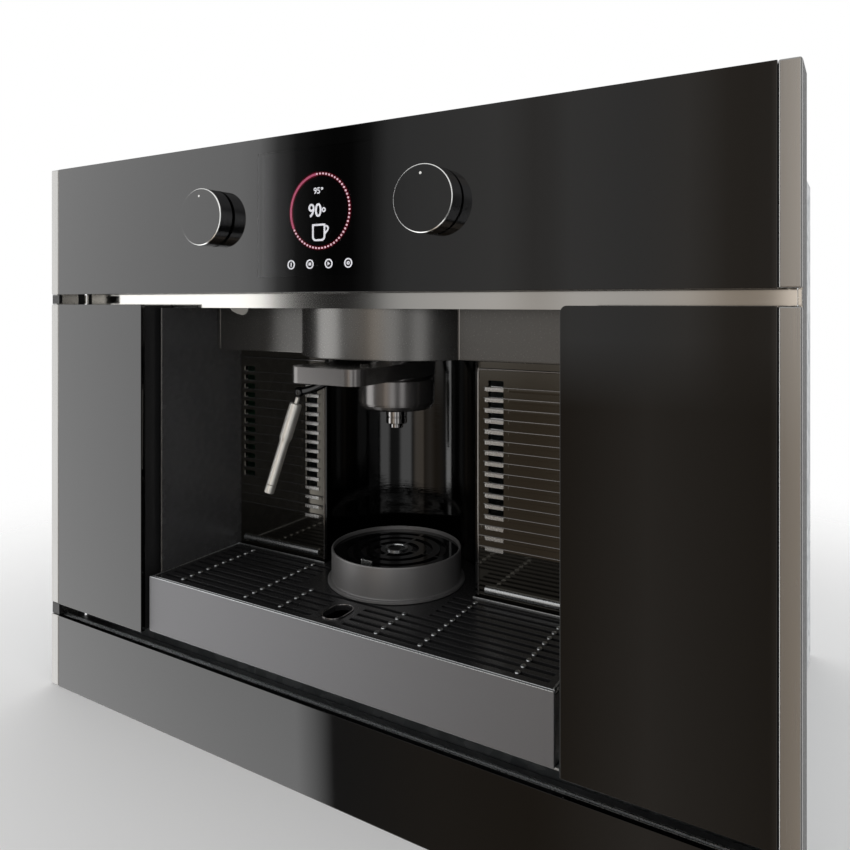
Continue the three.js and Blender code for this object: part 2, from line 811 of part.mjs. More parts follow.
// Cover over the brewing group, open above and behind, and the ceiling of the niche.
function groupHousing() {
  const back = BACK_PANEL_FACE - CLEARANCE;
  const outside = slab(housingPlan(0, back), CEILING, HOUSING_TOP, 20);
  const inside = slab(housingPlan(WALL, back + 1), CEILING + WALL, HOUSING_TOP + 1, 20);
  const recessCeiling = disc(RECESS_RADIUS, 0, BACK_PANEL_FACE, CEILING, CEILING + WALL, 40);
  const headHole = disc(HEAD_RADIUS + CLEARANCE, 0, GROUP_Y, CEILING - 1, CEILING + 10);
  const postRadius = WAND_POST_RADIUS + CLEARANCE;
  const postHole = disc(postRadius, WAND_POST.x, WAND_POST.y, CEILING - 1, CEILING + 10, 24);
  return cut(join(cut(outside, inside), recessCeiling), headHole, postHole);
}

// ---- brewing group ----
// Fixed head with the shower face and a groove that the filter holder's ears turn into.
function groupHead() {
  const shower = 21;
  const showerBottom = HEAD_BOTTOM + 4.2;
  const lipBore = NECK_RADIUS + 0.5;
  const lipTop = NECK_TOP - EAR_THICKNESS - 0.7;
  const groove = EAR_REACH + 1;
  const grooveTop = NECK_TOP + 0.8;
  const head = turned(
    [
      [0, showerBottom],
      [shower, showerBottom],
      [shower, grooveTop],
      [groove, grooveTop],
      [groove, lipTop],
      [lipBore, lipTop],
      [lipBore, HEAD_BOTTOM],
      [HEAD_RADIUS, HEAD_BOTTOM],
      [HEAD_RADIUS, HEAD_TOP],
      [0, HEAD_TOP],
    ],
    0,
    GROUP_Y,
  );
  const notchHalf = EAR_HALF + 1;
  const notchReach = 12;
  const notches = [1, -1].map((side) => {
    const notch = new THREE.BoxGeometry(notchReach, 2 * notchHalf, lipTop - HEAD_BOTTOM + 2);
    notch.translate(side * (lipBore - 1.5), 0, (lipTop + HEAD_BOTTOM) / 2);
    notch.rotateZ(THREE.MathUtils.degToRad(-UNLOCK_ANGLE));
    notch.translate(0, GROUP_Y, 0);
    return solidOf(notch);
  });
  return cut(head, ...notches);
}

// Brass boiler on the head: a foot flange, a barrel, a domed shoulder and a fitting on top.
function boiler() {
  const foot = 42;
  const barrel = 35;
  const fitting = 9;
  const z0 = HEAD_TOP + CLEARANCE;
  const shoulder = FRONT_HEIGHT - 37;
  const z1 = FRONT_HEIGHT - 17;
  const profile = [
    [0, z0],
    [foot, z0],
    [foot, z0 + 5.7],
    [barrel, z0 + 7.7],
    [barrel, shoulder],
    [barrel - 9, shoulder + 12],
    [fitting, shoulder + 14],
    [fitting, z1],
    [0, z1],
  ];
  return turned(profile, 0, GROUP_Y, 24);
}

// Filter holder body: a cup with a neck and two ears that lock in the head.
function filterBody() {
  const bore = BASKET_RADIUS + CLEARANCE;
  const cup = turned(
    [
      [0, CUP_BOTTOM],
      [CUP_RADIUS - 3, CUP_BOTTOM],
      [CUP_RADIUS, CUP_BOTTOM + 3.5],
      [CUP_RADIUS, CUP_TOP - 0.6],
      [CUP_RADIUS - 0.6, CUP_TOP],
      [NECK_RADIUS, CUP_TOP],
      [NECK_RADIUS, NECK_TOP],
      [bore, NECK_TOP],
      [bore, BASKET_SEAT],
      [0, BASKET_SEAT],
    ],
    0,
    GROUP_Y,
  );
  const ear = (side) =>
    sideBlock(
      side,
      NECK_RADIUS - 1.5,
      EAR_REACH,
      GROUP_Y - EAR_HALF,
      GROUP_Y + EAR_HALF,
      NECK_TOP - EAR_THICKNESS,
      NECK_TOP,
    );
  return join(cup, ear(1), ear(-1));
}

// Thin steel basket that hangs inside the holder.
function filterBasket() {
  const wall = 1;
  const bottom = BASKET_SEAT + CLEARANCE;
  return turned(
    [
      [0, bottom],
      [BASKET_RADIUS - 3, bottom],
      [BASKET_RADIUS, bottom + 4],
      [BASKET_RADIUS, NECK_TOP - CLEARANCE],
      [BASKET_RADIUS - wall, NECK_TOP - CLEARANCE],
      [BASKET_RADIUS - wall, bottom + 4.5],
      [BASKET_RADIUS - 3.5, bottom + wall],
      [0, bottom + wall],
    ],
    0,
    GROUP_Y,
    28,
  );
}

// Flat grip that points straight to the front and closes round the neck.
function filterHandle() {
  const corner = 11;
  const shape = new THREE.Shape();
  shape.moveTo(HANDLE_HALF, GROUP_Y);
  shape.absarc(0, GROUP_Y, HANDLE_HALF, 0, Math.PI, false);
  shape.lineTo(-HANDLE_HALF, HANDLE_FRONT + corner);
  shape.absarc(
    -HANDLE_HALF + corner,
    HANDLE_FRONT + corner,
    corner,
    Math.PI,
    1.5 * Math.PI,
    false,
  );
  shape.absarc(
    HANDLE_HALF - corner,
    HANDLE_FRONT + corner,
    corner,
    1.5 * Math.PI,
    2 * Math.PI,
    false,
  );
  shape.closePath();
  const grip = slab(shape, HANDLE_BOTTOM, HANDLE_TOP, 8);
  const neck = disc(NECK_RADIUS + CLEARANCE, 0, GROUP_Y, HANDLE_BOTTOM - 1, HANDLE_TOP + 1, 36);
  return cut(grip, neck);
}

// Stepped outlet tube under the holder.
function filterSpout() {
  const bore = 3;
  const tip = 5.3;
  const collar = 8.4;
  const z0 = CUP_BOTTOM - 15.9;
  const step = z0 + 3.5;
  const z1 = CUP_BOTTOM - CLEARANCE;
  return turned(
    [
      [bore, z0],
      [tip, z0],
      [tip, step],
      [collar, step],
      [collar, z1],
      [bore, z1],
    ],
    0,
    GROUP_Y,
    20,
  );
}

// ---- steam wand ----
const POST_BOTTOM = CEILING - 8.3;
const POST_TOP = CEILING + 5.7;
const ARM_RADIUS = 3.4;

// Swivel arm: a post through the ceiling and a bent tube that ends in a ball.
function wandSwivel() {
  const at = (z) => new THREE.Vector3(WAND_POST.x, WAND_POST.y, z);
  const upperBend = at(CEILING - 22.3).add(new THREE.Vector3(-4, -2.4, 0));
  const lowerBend = at(CEILING - 28.3).add(new THREE.Vector3(-11.5, -6.9, 0));
  const path = new THREE.CatmullRomCurve3([
    at(POST_TOP - 2),
    at(POST_BOTTOM - 4),
    upperBend,
    lowerBend,
    WAND_BALL,
  ]);
  const section = new THREE.Shape();
  section.absarc(0, 0, ARM_RADIUS, 0, 2 * Math.PI, false);
  const tube = new THREE.ExtrudeGeometry(section, {
    extrudePath: path,
    steps: 12,
    curveSegments: 5,
    bevelEnabled: false,
  });
  const ball = new THREE.SphereGeometry(WAND_BALL_RADIUS, 14, 9);
  ball.translate(WAND_BALL.x, WAND_BALL.y, WAND_BALL.z);
  const collar = disc(WAND_POST_RADIUS, WAND_POST.x, WAND_POST.y, POST_BOTTOM, POST_TOP, 16);
  return join(facingOut(tube), solidOf(ball), collar);
}

const wandDirection = WAND_TIP.clone().sub(WAND_BALL).normalize();
const alongWand = (distance) => WAND_BALL.clone().addScaledVector(wandDirection, distance);
const WAND_START = WAND_BALL_RADIUS + CLEARANCE;
const NOZZLE_LENGTH = 7;
const NOZZLE_START = WAND_TIP.distanceTo(WAND_BALL) - NOZZLE_LENGTH;

// Pale tube with a thicker sleeve to hold it by.
function wandTube() {
  const neck = 1.9;
  const sleeve = 5.2;
  const sleeveFrom = 10;
  const sleeveTo = 39;
  const taperTo = 42.5;
  return join(
    rod(alongWand(WAND_START), alongWand(sleeveFrom + 1), neck),
    rod(alongWand(sleeveFrom), alongWand(sleeveTo), sleeve),
    rod(alongWand(sleeveTo - 0.5), alongWand(taperTo), sleeve, WAND_RADIUS),
    rod(alongWand(taperTo - 1), alongWand(NOZZLE_START - CLEARANCE), WAND_RADIUS),
  );
}

// Steel tip with one steam hole.
function wandNozzle() {
  const tip = 3.4;
  const hole = 0.8;
  const end = NOZZLE_START + NOZZLE_LENGTH;
  const outside = join(
    rod(alongWand(NOZZLE_START), alongWand(end - 1), WAND_RADIUS),
    rod(alongWand(end - 1.2), alongWand(end), WAND_RADIUS, tip),
  );
  return cut(outside, rod(alongWand(end - 4), alongWand(end + 1), hole, hole, 12));
}

// ---- drip tray ----
function trayFront() {
  const y1 = TRAY_FRONT_FACE + TRAY_FRONT_THICKNESS;
  const half = TRAY_HALF + 0.9;
  return block(-half, half, TRAY_FRONT_FACE, y1, TRAY_FRONT_BOTTOM, TRAY_FRONT_TOP);
}

const BASIN_FRONT = TRAY_FRONT_FACE + TRAY_FRONT_THICKNESS + CLEARANCE;

// Plan of the tray: a rectangle with a half round back that fills the recess.
function trayPlan(inset, z0, z1) {
  return join(
    block(-TRAY_HALF + inset, TRAY_HALF - inset, BASIN_FRONT + inset, TRAY_BACK - inset, z0, z1),
    disc(TRAY_ROUND - inset, 0, BACK_PANEL_FACE, z0, z1, 40),
  );
}

function trayBasin() {
  const z0 = SHELF_TOP + CLEARANCE;
  const z1 = GRILLE_TOP - GRILLE_THICKNESS - CLEARANCE;
  return cut(trayPlan(0, z0, z1), trayPlan(WALL, z0 + WALL, z1 + 1));
}

const SLOT_END = TRAY_HALF - 5.9;
const BRIDGES = [42.3, 76.6, SLOT_END - 20.3]; // bars that run from front to back across the slots
const BRIDGE_HALF = 1.8;
const OPEN_ROWS = 5; // rows that lie wholly ahead of the cup stand

// The stretches of one row of slots right of the middle, as [from, to].
function slotStretches(row) {
  const y = SLOT_FIRST + row * SLOT_PITCH;
  const besideHole = Math.abs(y - FINGER_HOLE_Y) < FINGER_HOLE_LENGTH / 2 + 4;
  const besideStand = row >= OPEN_ROWS;
  const first = besideStand ? STAND_FLANGE + 4 : besideHole ? 14 : 0;
  const bridges = BRIDGES.filter((x) => x > first);
  const starts = [first, ...bridges.map((x) => x + BRIDGE_HALF)];
  const ends = [...bridges.map((x) => x - BRIDGE_HALF), SLOT_END];
  return starts.map((start, i) => [start, ends[i]]);
}

function dripGrille() {
  const z0 = GRILLE_TOP - GRILLE_THICKNESS;
  const slots = [];
  for (let row = 0; row < SLOT_ROWS; row++) {
    const y0 = SLOT_FIRST + row * SLOT_PITCH - SLOT_WIDTH / 2;
    for (const [from, to] of slotStretches(row)) {
      for (const side of [-1, 1]) {
        slots.push(sideBlock(side, from, to, y0, y0 + SLOT_WIDTH, z0 - 1, GRILLE_TOP + 1));
      }
    }
  }
  const rimWidth = 1.6;
  const rim = slab(
    stadium(
      0,
      FINGER_HOLE_Y,
      FINGER_HOLE_WIDTH + 2 * rimWidth,
      FINGER_HOLE_LENGTH + 2 * rimWidth,
    ),
    z0,
    GRILLE_TOP + 0.8,
    10,
  );
  const hole = slab(
    stadium(0, FINGER_HOLE_Y, FINGER_HOLE_WIDTH, FINGER_HOLE_LENGTH),
    z0 - 1,
    GRILLE_TOP + 3,
    10,
  );
  return cut(join(cut(trayPlan(0, z0, GRILLE_TOP), ...slots), rim), hole);
}

// Raised drum that a cup stands on, with a ledge for its grate.
function cupStand() {
  const z0 = GRILLE_TOP + CLEARANCE;
  const flangeTop = z0 + 2.2;
  const inner = STAND_RADIUS - STAND_WALL;
  const ledge = inner - 6;
  const ledgeBottom = GRATE_SEAT - 1.5;
  return turned(
    [
      [STAND_FLANGE, z0],
      [STAND_FLANGE, flangeTop],
      [STAND_RADIUS, flangeTop],
      [STAND_RADIUS, STAND_TOP],
      [inner, STAND_TOP],
      [inner, GRATE_SEAT],
      [ledge, GRATE_SEAT],
      [ledge, ledgeBottom],
      [inner, ledgeBottom],
      [inner, z0],
    ],
    0,
    GROUP_Y,
    44,
  );
}

// A ring sector in x and y, round the brewing axis.
function ringSector(innerRadius, outerRadius, start, end) {
  const shape = new THREE.Shape();
  shape.absarc(0, GROUP_Y, outerRadius, start, end, false);
  shape.absarc(0, GROUP_Y, innerRadius, end, start, true);
  shape.closePath();
  return shape;
}

// Ringed plate of the stand: three broken ring slots round a raised middle.
function cupGrate() {
  const z0 = GRATE_SEAT + CLEARANCE;
  const z1 = z0 + 2.6;
  const radius = STAND_RADIUS - STAND_WALL - CLEARANCE;
  const plate = disc(radius, 0, GROUP_Y, z0, z1, 44);
  const boss = disc(7.75, 0, GROUP_Y, z0, z1 + 0.6, 20);
  const slotWidth = 5;
  const spokeWidth = 2.4;
  const slots = [];
  for (const inner of spread(13, 11, 3)) {
    const spoke = spokeWidth / (inner + slotWidth / 2);
    for (let quarter = 0; quarter < 4; quarter++) {
      const start = (quarter * Math.PI) / 2 + spoke / 2;
      const end = ((quarter + 1) * Math.PI) / 2 - spoke / 2;
      const sector = ringSector(inner, inner + slotWidth, start, end);
      slots.push(slab(sector, z0 - 1, z1 + 1, 4));
    }
  }
  return cut(join(plate, boss), ...slots);
}

// ---- water, pump and power ----
// Clear tank behind the right hand panel, filled through a mouth in its top.
function waterTank() {
  const z0 = SHELF_TOP + CLEARANCE;
  const outside = block(
    TANK_LEFT,
    TANK_RIGHT,
    BACKING_BACK + CLEARANCE,
    TANK_BACK,
    z0,
    TANK_TOP,
  );
  const inside = block(
    TANK_LEFT + TANK_WALL,
    TANK_RIGHT - TANK_WALL,
    BACKING_BACK + CLEARANCE + TANK_WALL,
    TANK_BACK - TANK_WALL,
    z0 + TANK_WALL,
    TANK_TOP - TANK_WALL,
  );
  const mouthInset = 6;
  const mouth = block(
    TANK_LEFT + mouthInset,
    TANK_RIGHT - mouthInset,
    LID_FRONT + 4,
    LID_BACK - mouthInset,
    TANK_TOP - TANK_WALL - 1,
    TANK_TOP + 1,
  );
  return cut(outside, inside, mouth);
}

const LID_BOTTOM = TANK_TOP + CLEARANCE;

// Flap over the mouth, with a tab to lift it by.
function tankLid() {
  const z1 = LID_BOTTOM + LID_THICKNESS;
  const inset = 3;
  const x0 = TANK_LEFT + inset;
  const x1 = TANK_RIGHT - inset;
  const plate = block(x0, x1, LID_FRONT, LID_BACK, LID_BOTTOM, z1);
  const middle = (TANK_LEFT + TANK_RIGHT) / 2;
  const tabHalf = 10;
  const tabFront = LID_FRONT - 6;
  const tab = block(middle - tabHalf, middle + tabHalf, tabFront, LID_FRONT + 1, LID_BOTTOM, z1);
  return join(plate, tab);
}

const PUMP_X = -120;
const PUMP_Z = 34;
const COIL_HALF = 22;
const COIL_FRONT = 140;
const COIL_BACK = 205;
const BARREL_RADIUS = 13;
const BARREL_FRONT = 110;
const BARREL_BACK = 250;
const PORT_RADIUS = 5;

// Vibrating pump: a coil block on a barrel that runs front to back under the shelf, with a port
// at each end and a foot on the base plate.
function pump() {
  const footHalf = COIL_HALF - 4;
  const footBottom = SKID_HEIGHT + SHEET + CLEARANCE;
  return join(
    pin(BARREL_RADIUS, PUMP_X, PUMP_Z, BARREL_FRONT, BARREL_BACK, 28),
    block(
      PUMP_X - COIL_HALF,
      PUMP_X + COIL_HALF,
      COIL_FRONT,
      COIL_BACK,
      PUMP_Z - COIL_HALF,
      PUMP_Z + COIL_HALF,
    ),
    pin(PORT_RADIUS, PUMP_X, PUMP_Z, BARREL_FRONT - 18, BARREL_FRONT + 2, 20),
    pin(PORT_RADIUS, PUMP_X, PUMP_Z, BARREL_BACK - 2, BARREL_BACK + 14, 20),
    block(
      PUMP_X - footHalf,
      PUMP_X + footHalf,
      COIL_FRONT + 10,
      COIL_BACK - 10,
      footBottom,
      PUMP_Z,
    ),
  );
}

const POWER_BOARD_X = 16 - CASE_HALF;
const POWER_BOARD_FRONT = 120;
const POWER_BOARD_LENGTH = 170;
const POWER_BOARD_BOTTOM = 110;
const POWER_BOARD_HEIGHT = 190;

// Power electronics on a board that stands beside the niche: a transformer, two relays, a row of
// plugs and a heat sink.
function powerBoard() {
  const x1 = POWER_BOARD_X + BOARD_SHEET;
  const onBoard = (back, long, up, high, height) =>
    block(
      x1 - 0.5,
      x1 + height,
      POWER_BOARD_FRONT + back,
      POWER_BOARD_FRONT + back + long,
      POWER_BOARD_BOTTOM + up,
      POWER_BOARD_BOTTOM + up + high,
    );
  const transformer = onBoard(20, 36, 20, 36, 26);
  const relays = [70, 96].map((back) => onBoard(back, 18, 20, 20, 14));
  const plugs = onBoard(30, 120, POWER_BOARD_HEIGHT - 24, 14, 10);
  const heatSink = onBoard(120, 22, 80, 50, 20);
  const board = block(
    POWER_BOARD_X,
    x1,
    POWER_BOARD_FRONT,
    POWER_BOARD_FRONT + POWER_BOARD_LENGTH,
    POWER_BOARD_BOTTOM,
    POWER_BOARD_BOTTOM + POWER_BOARD_HEIGHT,
  );
  return join(board, transformer, ...relays, plugs, heatSink);
}

// ---- assembly ----
const assembly = new THREE.Group();

function place(name, solid, color, roughness, metalness) {
  const material = new THREE.MeshStandardMaterial({ color, roughness, metalness });
  const mesh = new THREE.Mesh(geometryOf(solid), material);
  mesh.name = name;
  assembly.add(mesh);
}

const STAINLESS = [0xb9b7b2, 0.35, 1];
const SMOKED_GLASS = [0x3c3e42, 0.06, 0];
const DARK_PLASTIC = [0x1b1b1d, 0.5, 0];
const GLOSS_BLACK = [0x111113, 0.12, 0];
const DARK_METAL = [0x4a4a4c, 0.3, 0.9];
const GALVANISED = [0xa9adb0, 0.45, 0.9];

place("base_plate", basePlate(), ...GALVANISED);
place("side_left", sidePlate(-1), ...GALVANISED);
place("side_right", sidePlate(1), ...GALVANISED);
place("top_cover", topCover(), ...GALVANISED);
place("rear_cover", rearCover(), ...GALVANISED);
place("power_inlet", powerInlet(), ...DARK_PLASTIC);
place("skid_left", skid(-1), ...DARK_PLASTIC);
place("skid_right", skid(1), ...DARK_PLASTIC);

place("front_crossbar", frontCrossbar(), 0xc9c7c2, 0.28, 1);
place("front_lower_bar", frontLowerBar(), ...GALVANISED);
place("front_stile_left", frontStile(-1, STILE_LEFT_INNER), ...GALVANISED);
place("front_stile_right", frontStile(1, STILE_RIGHT_INNER), ...GALVANISED);
place("side_trim_left", sideTrim(-1), 0x8f8f8d, 0.4, 1);
place("side_trim_right", sideTrim(1), 0x8f8f8d, 0.4, 1);

place("fascia_glass", fasciaGlass(), ...SMOKED_GLASS);
place("fascia_strip_left", edgeStrip(-1, FASCIA_BOTTOM, FRONT_HEIGHT), ...STAINLESS);
place("fascia_strip_right", edgeStrip(1, FASCIA_BOTTOM, FRONT_HEIGHT), ...STAINLESS);
place("fascia_housing", fasciaHousing(), ...DARK_PLASTIC);
place("display_module", displayModule(), 0x0b0b0d, 0.3, 0);
place("control_board", controlBoard(), 0x1e5a36, 0.6, 0);
place("encoder_left", encoder(-1), 0x8a8c90, 0.4, 0.8);
place("encoder_right", encoder(1), 0x8a8c90, 0.4, 0.8);
place("knob_left", knob(-1), 0x2a2a2c, 0.25, 0.6);
place("knob_right", knob(1), 0x2a2a2c, 0.25, 0.6);

place("left_glass", leftGlass(), ...SMOKED_GLASS);
place("left_strip", edgeStrip(-1, MIDDLE_BOTTOM, MIDDLE_TOP), ...STAINLESS);
place("left_backing", leftBacking(), ...DARK_PLASTIC);
place("right_glass", rightGlass(), ...SMOKED_GLASS);
place("right_strip", edgeStrip(1, MIDDLE_BOTTOM, MIDDLE_TOP), ...STAINLESS);
place("right_backing", rightBacking(), ...DARK_PLASTIC);
place("lower_glass", lowerGlass(), ...SMOKED_GLASS);
place("lower_strip_left", edgeStrip(-1, 0, LOWER_TOP), ...STAINLESS);
place("lower_strip_right", edgeStrip(1, 0, LOWER_TOP), ...STAINLESS);
place("lower_rail", lowerRail(), 0xc4c6c8, 0.3, 1);
place("lower_backing", lowerBacking(), ...DARK_PLASTIC);

place("niche_wall_left", nicheWall(-1), 0x2c2c2e, 0.2, 0.6);
place("niche_wall_right", nicheWall(1), 0x2c2c2e, 0.2, 0.6);
place("floor_shelf", floorShelf(), ...GALVANISED);
place("louvre_left", louvrePanel(-1), 0x1f1f21, 0.3, 0.2);
place("louvre_right", louvrePanel(1), 0x1f1f21, 0.3, 0.2);
place("recess_wall", recessWall(), ...GLOSS_BLACK);
place("group_housing", groupHousing(), ...DARK_METAL);

place("group_head", groupHead(), 0xa8a6a0, 0.3, 1);
place("boiler", boiler(), 0xb08d57, 0.35, 1);
place("filter_body", filterBody(), ...DARK_METAL);
place("filter_handle", filterHandle(), 0x4c4c4e, 0.35, 0.6);
place("filter_basket", filterBasket(), 0xc6c6c4, 0.25, 1);
place("filter_spout", filterSpout(), 0x77777a, 0.2, 1);

place("wand_swivel", wandSwivel(), 0x18181a, 0.3, 0.4);
place("wand_tube", wandTube(), 0xd2d2ce, 0.25, 1);
place("wand_nozzle", wandNozzle(), 0xd2d2ce, 0.25, 1);

place("tray_front", trayFront(), 0x8f8f90, 0.35, 0.9);
place("tray_basin", trayBasin(), ...DARK_PLASTIC);
place("drip_grille", dripGrille(), ...GLOSS_BLACK);
place("cup_stand", cupStand(), ...GLOSS_BLACK);
place("cup_grate", cupGrate(), 0x19191b, 0.25, 0.3);

place("water_tank", waterTank(), 0x5c6064, 0.2, 0);
place("tank_lid", tankLid(), ...DARK_PLASTIC);
place("pump", pump(), 0x9b9489, 0.5, 0.4);
place("power_board", powerBoard(), 0x1e5a36, 0.6, 0);

// The knobs stand ahead of the glass, so the middle of the depth lies between them and the back.
assembly.position.y = (KNOB_REACH - BODY_DEPTH) / 2;

const group = new THREE.Group();
group.add(assembly);

export default group;
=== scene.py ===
import math

import bmesh
import bpy
from mathutils import Matrix, Vector


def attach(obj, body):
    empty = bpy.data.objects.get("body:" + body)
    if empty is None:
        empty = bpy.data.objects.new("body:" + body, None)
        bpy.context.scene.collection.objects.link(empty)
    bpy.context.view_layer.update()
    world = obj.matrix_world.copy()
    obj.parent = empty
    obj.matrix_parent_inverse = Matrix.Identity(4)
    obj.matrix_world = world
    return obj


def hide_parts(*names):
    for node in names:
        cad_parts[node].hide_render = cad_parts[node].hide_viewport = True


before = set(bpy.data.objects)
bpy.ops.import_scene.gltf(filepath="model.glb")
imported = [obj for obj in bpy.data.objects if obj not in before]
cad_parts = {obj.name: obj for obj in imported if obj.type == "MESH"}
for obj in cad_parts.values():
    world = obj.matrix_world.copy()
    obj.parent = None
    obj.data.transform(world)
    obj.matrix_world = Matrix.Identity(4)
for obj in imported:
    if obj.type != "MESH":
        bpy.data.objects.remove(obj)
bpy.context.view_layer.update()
scene = bpy.context.scene

# ---- measures ----
# Shapes are drawn in millimetres: x from the middle of the front, depth behind the face of the
# glass, z from the lowest edge. make_piece takes them to the row frame.
MM = 0.001
FRONT_Y = -0.196  # the face of the glass in the row frame, in metres
SIDES = ((-1, "left"), (1, "right"))

# The front: its half width, its bands as limits in z, and what stands in them.
HALF = 297.5
STRIP_INNER = 287.15
PANE_EDGE = STRIP_INNER - 0.3
PANEL_INNER = 176.8
GLASS = 4.0
LOWER_TOP = 62.0
MIDDLE = (72.4, 336.3)
FASCIA = (345.0, 455.0)
KNOB_X = 94.9
KNOB_Z = 400.7
KNOB_RADIUS = 20.95
KNOB_FRONT = -13.0
WINDOW_HALF = 50
WINDOW = (356, 444)

# The screen behind the window.
DISPLAY_FLOOR = 8.0
MARK_FRONT = DISPLAY_FLOOR - 0.3
SHIFT = 1.3  # the pane of glass in front shows the marks this far to the left
DIAL = (SHIFT, 401.0)
DIAL_RADIUS = 25.6
ICON_Z = 364.6

# The niche: its walls, its back panels and the round recess between them.
NICHE_HALF = 171.5
NICHE_FLOOR = 72.3
CEILING = 296.3
BACK_FACE = 105.0
AXIS = (0, BACK_FACE)  # upright, through the recess, the filter holder and the stand
RECESS_RADIUS = 71.0
RECESS_EDGE = 72.8
HOUSING_TOP = 372.0
HOUSING_FACE = 76.0
NOSE_RADIUS = 81.5
NOSE_CENTRE = 115.0
LADDER_TOP = 279.6
PITCH = 7.95
OPENING = (12, 4.4)  # width and height of one opening of a ladder
COLUMNS = (81.8, 154.2)  # where the ladders start
LADDER_ROWS = 13
SLAT_ROWS = 16

# The wand: where it comes out of the ceiling, its ball and its tip.
WAND_EXIT = (-54.5, 93)
BALL = Vector((-78.5, 78.6, 264))
TIP = Vector((-96.2, 60.9, 182))

# The tray, its grille with rows of slots, and the stand.
TRAY_FACE = (-171.8, 171.8)
TRAY_HALF = 170.9
TRAY_FRONT = 7.3
TRAY_BACK = 101.8
TRAY_ROUND = 70.2
GRILLE = (113.6, 117.0)
FIRST_SLOT = 15.4
SLOT_PITCH = 8.63
SLOT_ROWS = 10
SLOT_HALF = 1.8
SLOT_END = 165
BRIDGES = (42.3, 76.6, 144.7)
BRIDGE_HALF = 1.8
FINGER_HOLE = (0, 28, 15.4, 24.8)  # middle, width and length
HOLE_ROOM = (14, 18.5)  # slots stay this far from the hole's middle, in x and in depth
STAND_ROOM = 58.8  # from STAND_ROW on they start here, beside the stand
STAND_ROW = 5


# ---- shapes ----
def span(side, a, b):
    """Two distances from the middle of the front as limits in x, on one side of it."""
    return tuple(sorted((side * a, side * b)))


def bevel(bm, edges, width, segments=2):
    bmesh.ops.bevel(
        bm, geom=list(edges), offset=width, offset_type="OFFSET", segments=segments,
        profile=0.5, affect="EDGES", clamp_overlap=True, material=-1,
    )


def bevel_sharp(bm, width, segments=2, least=30.0, keep=lambda edge: True):
    """Rounds the edges whose faces meet at more than the least angle."""
    bm.normal_update()
    sharp = [
        e for e in bm.edges
        if len(e.link_faces) == 2 and e.calc_face_angle(0) > math.radians(least) and keep(e)
    ]
    bevel(bm, sharp, width, segments)
    return bm


def above(height):
    """A test for bevel_sharp: both ends of the edge are above this height."""
    return lambda edge: all(v.co.z > height for v in edge.verts)


def joined(bm, other):
    """Adds the faces of another shape to bm."""
    if bm is None:
        return other
    held = bpy.data.meshes.new("held")
    other.to_mesh(held)
    other.free()
    bm.from_mesh(held)
    bpy.data.meshes.remove(held)
    return bm


def painted(bm, number, where=lambda face: True):
    """Gives the faces that pass a test another one of their piece's materials."""
    for face in bm.faces:
        if where(face):
            face.material_index = number
    return bm


def block(x, depth, z, rounding=0.4, segments=2, bm=None):
    """A block between pairs of limits, with rounded edges."""
    made = bmesh.new()
    bmesh.ops.create_cube(made, size=1)
    limits = (x, depth, z)
    bmesh.ops.scale(made, vec=[b - a for a, b in limits], verts=made.verts)
    bmesh.ops.translate(made, vec=[(a + b) / 2 for a, b in limits], verts=made.verts)
    if rounding:
        bevel(made, made.edges, rounding, segments)
    return joined(bm, made)


def arc(x, y, radius, start, end, steps):
    """Points on an arc, angles in degrees."""
    turn = math.radians(end - start)
    first = math.radians(start)
    angles = [first + turn * i / steps for i in range(steps + 1)]
    return [(x + radius * math.cos(a), y + radius * math.sin(a)) for a in angles]


def circle(x, y, radius, points):
    return arc(x, y, radius, 0, 360 - 360 / points, points - 1)


def box_outline(a0, a1, b0, b1):
    return [(a0, b0), (a1, b0), (a1, b1), (a0, b1)]


def rounded_outline(a0, a1, b0, b1, radius, steps=6):
    corners = ((a1 - radius, b0 + radius, -90), (a1 - radius, b1 - radius, 0),
               (a0 + radius, b1 - radius, 90), (a0 + radius, b0 + radius, 180))
    return [p for a, b, turn in corners for p in arc(a, b, radius, turn, turn + 90, steps)]


def stadium(x, y, width, length):
    radius, straight = width / 2, (length - width) / 2
    return arc(x, y + straight, radius, 0, 180, 20) + arc(x, y - straight, radius, 180, 360, 20)


# Where the two coordinates of an outline and the way it is extruded go.
PLANES = {"front": lambda a, b, c: (a, c, b), "plan": lambda a, b, c: (a, b, c)}


def plate(outline, plane, near, far, holes=(), bm=None):
    """A flat outline with holes, filled and extruded."""
    place = PLANES[plane]
    made = bmesh.new()
    for loop in (outline, *holes):
        corners = [made.verts.new(place(a, b, near)) for a, b in loop]
        for i, corner in enumerate(corners):
            made.edges.new((corners[i - 1], corner))
    bmesh.ops.triangle_fill(made, edges=made.edges, use_beauty=True, use_dissolve=not holes)
    grown = bmesh.ops.extrude_face_region(made, geom=made.faces[:])["geom"]
    moved = [g for g in grown if isinstance(g, bmesh.types.BMVert)]
    bmesh.ops.translate(made, vec=Vector(place(0, 0, far)) - Vector(place(0, 0, near)), verts=moved)
    bmesh.ops.recalc_face_normals(made, faces=made.faces)
    return joined(bm, made)


def turned(profile, centre, steps=96, ring=False, along="z", bm=None):
    """A profile of (radius, height) spun about an upright axis, or about one that runs back."""
    made = bmesh.new()
    a, b = centre
    if along == "z":
        points = [(a + radius, b, height) for radius, height in profile]
        middle, axis = (a, b, 0), (0, 0, 1)
    else:
        points = [(a + radius, height, b) for radius, height in profile]
        middle, axis = (a, 0, b), (0, 1, 0)
    corners = [made.verts.new(p) for p in points]
    for i in range(0 if ring else 1, len(corners)):
        made.edges.new((corners[i - 1], corners[i]))
    bmesh.ops.spin(
        made, geom=made.verts[:] + made.edges[:], cent=middle, axis=axis, dvec=(0, 0, 0),
        angle=math.tau, steps=steps, use_merge=True, use_duplicate=False,
    )
    bmesh.ops.remove_doubles(made, verts=made.verts, dist=1e-4)
    bmesh.ops.recalc_face_normals(made, faces=made.faces)
    return joined(bm, made)


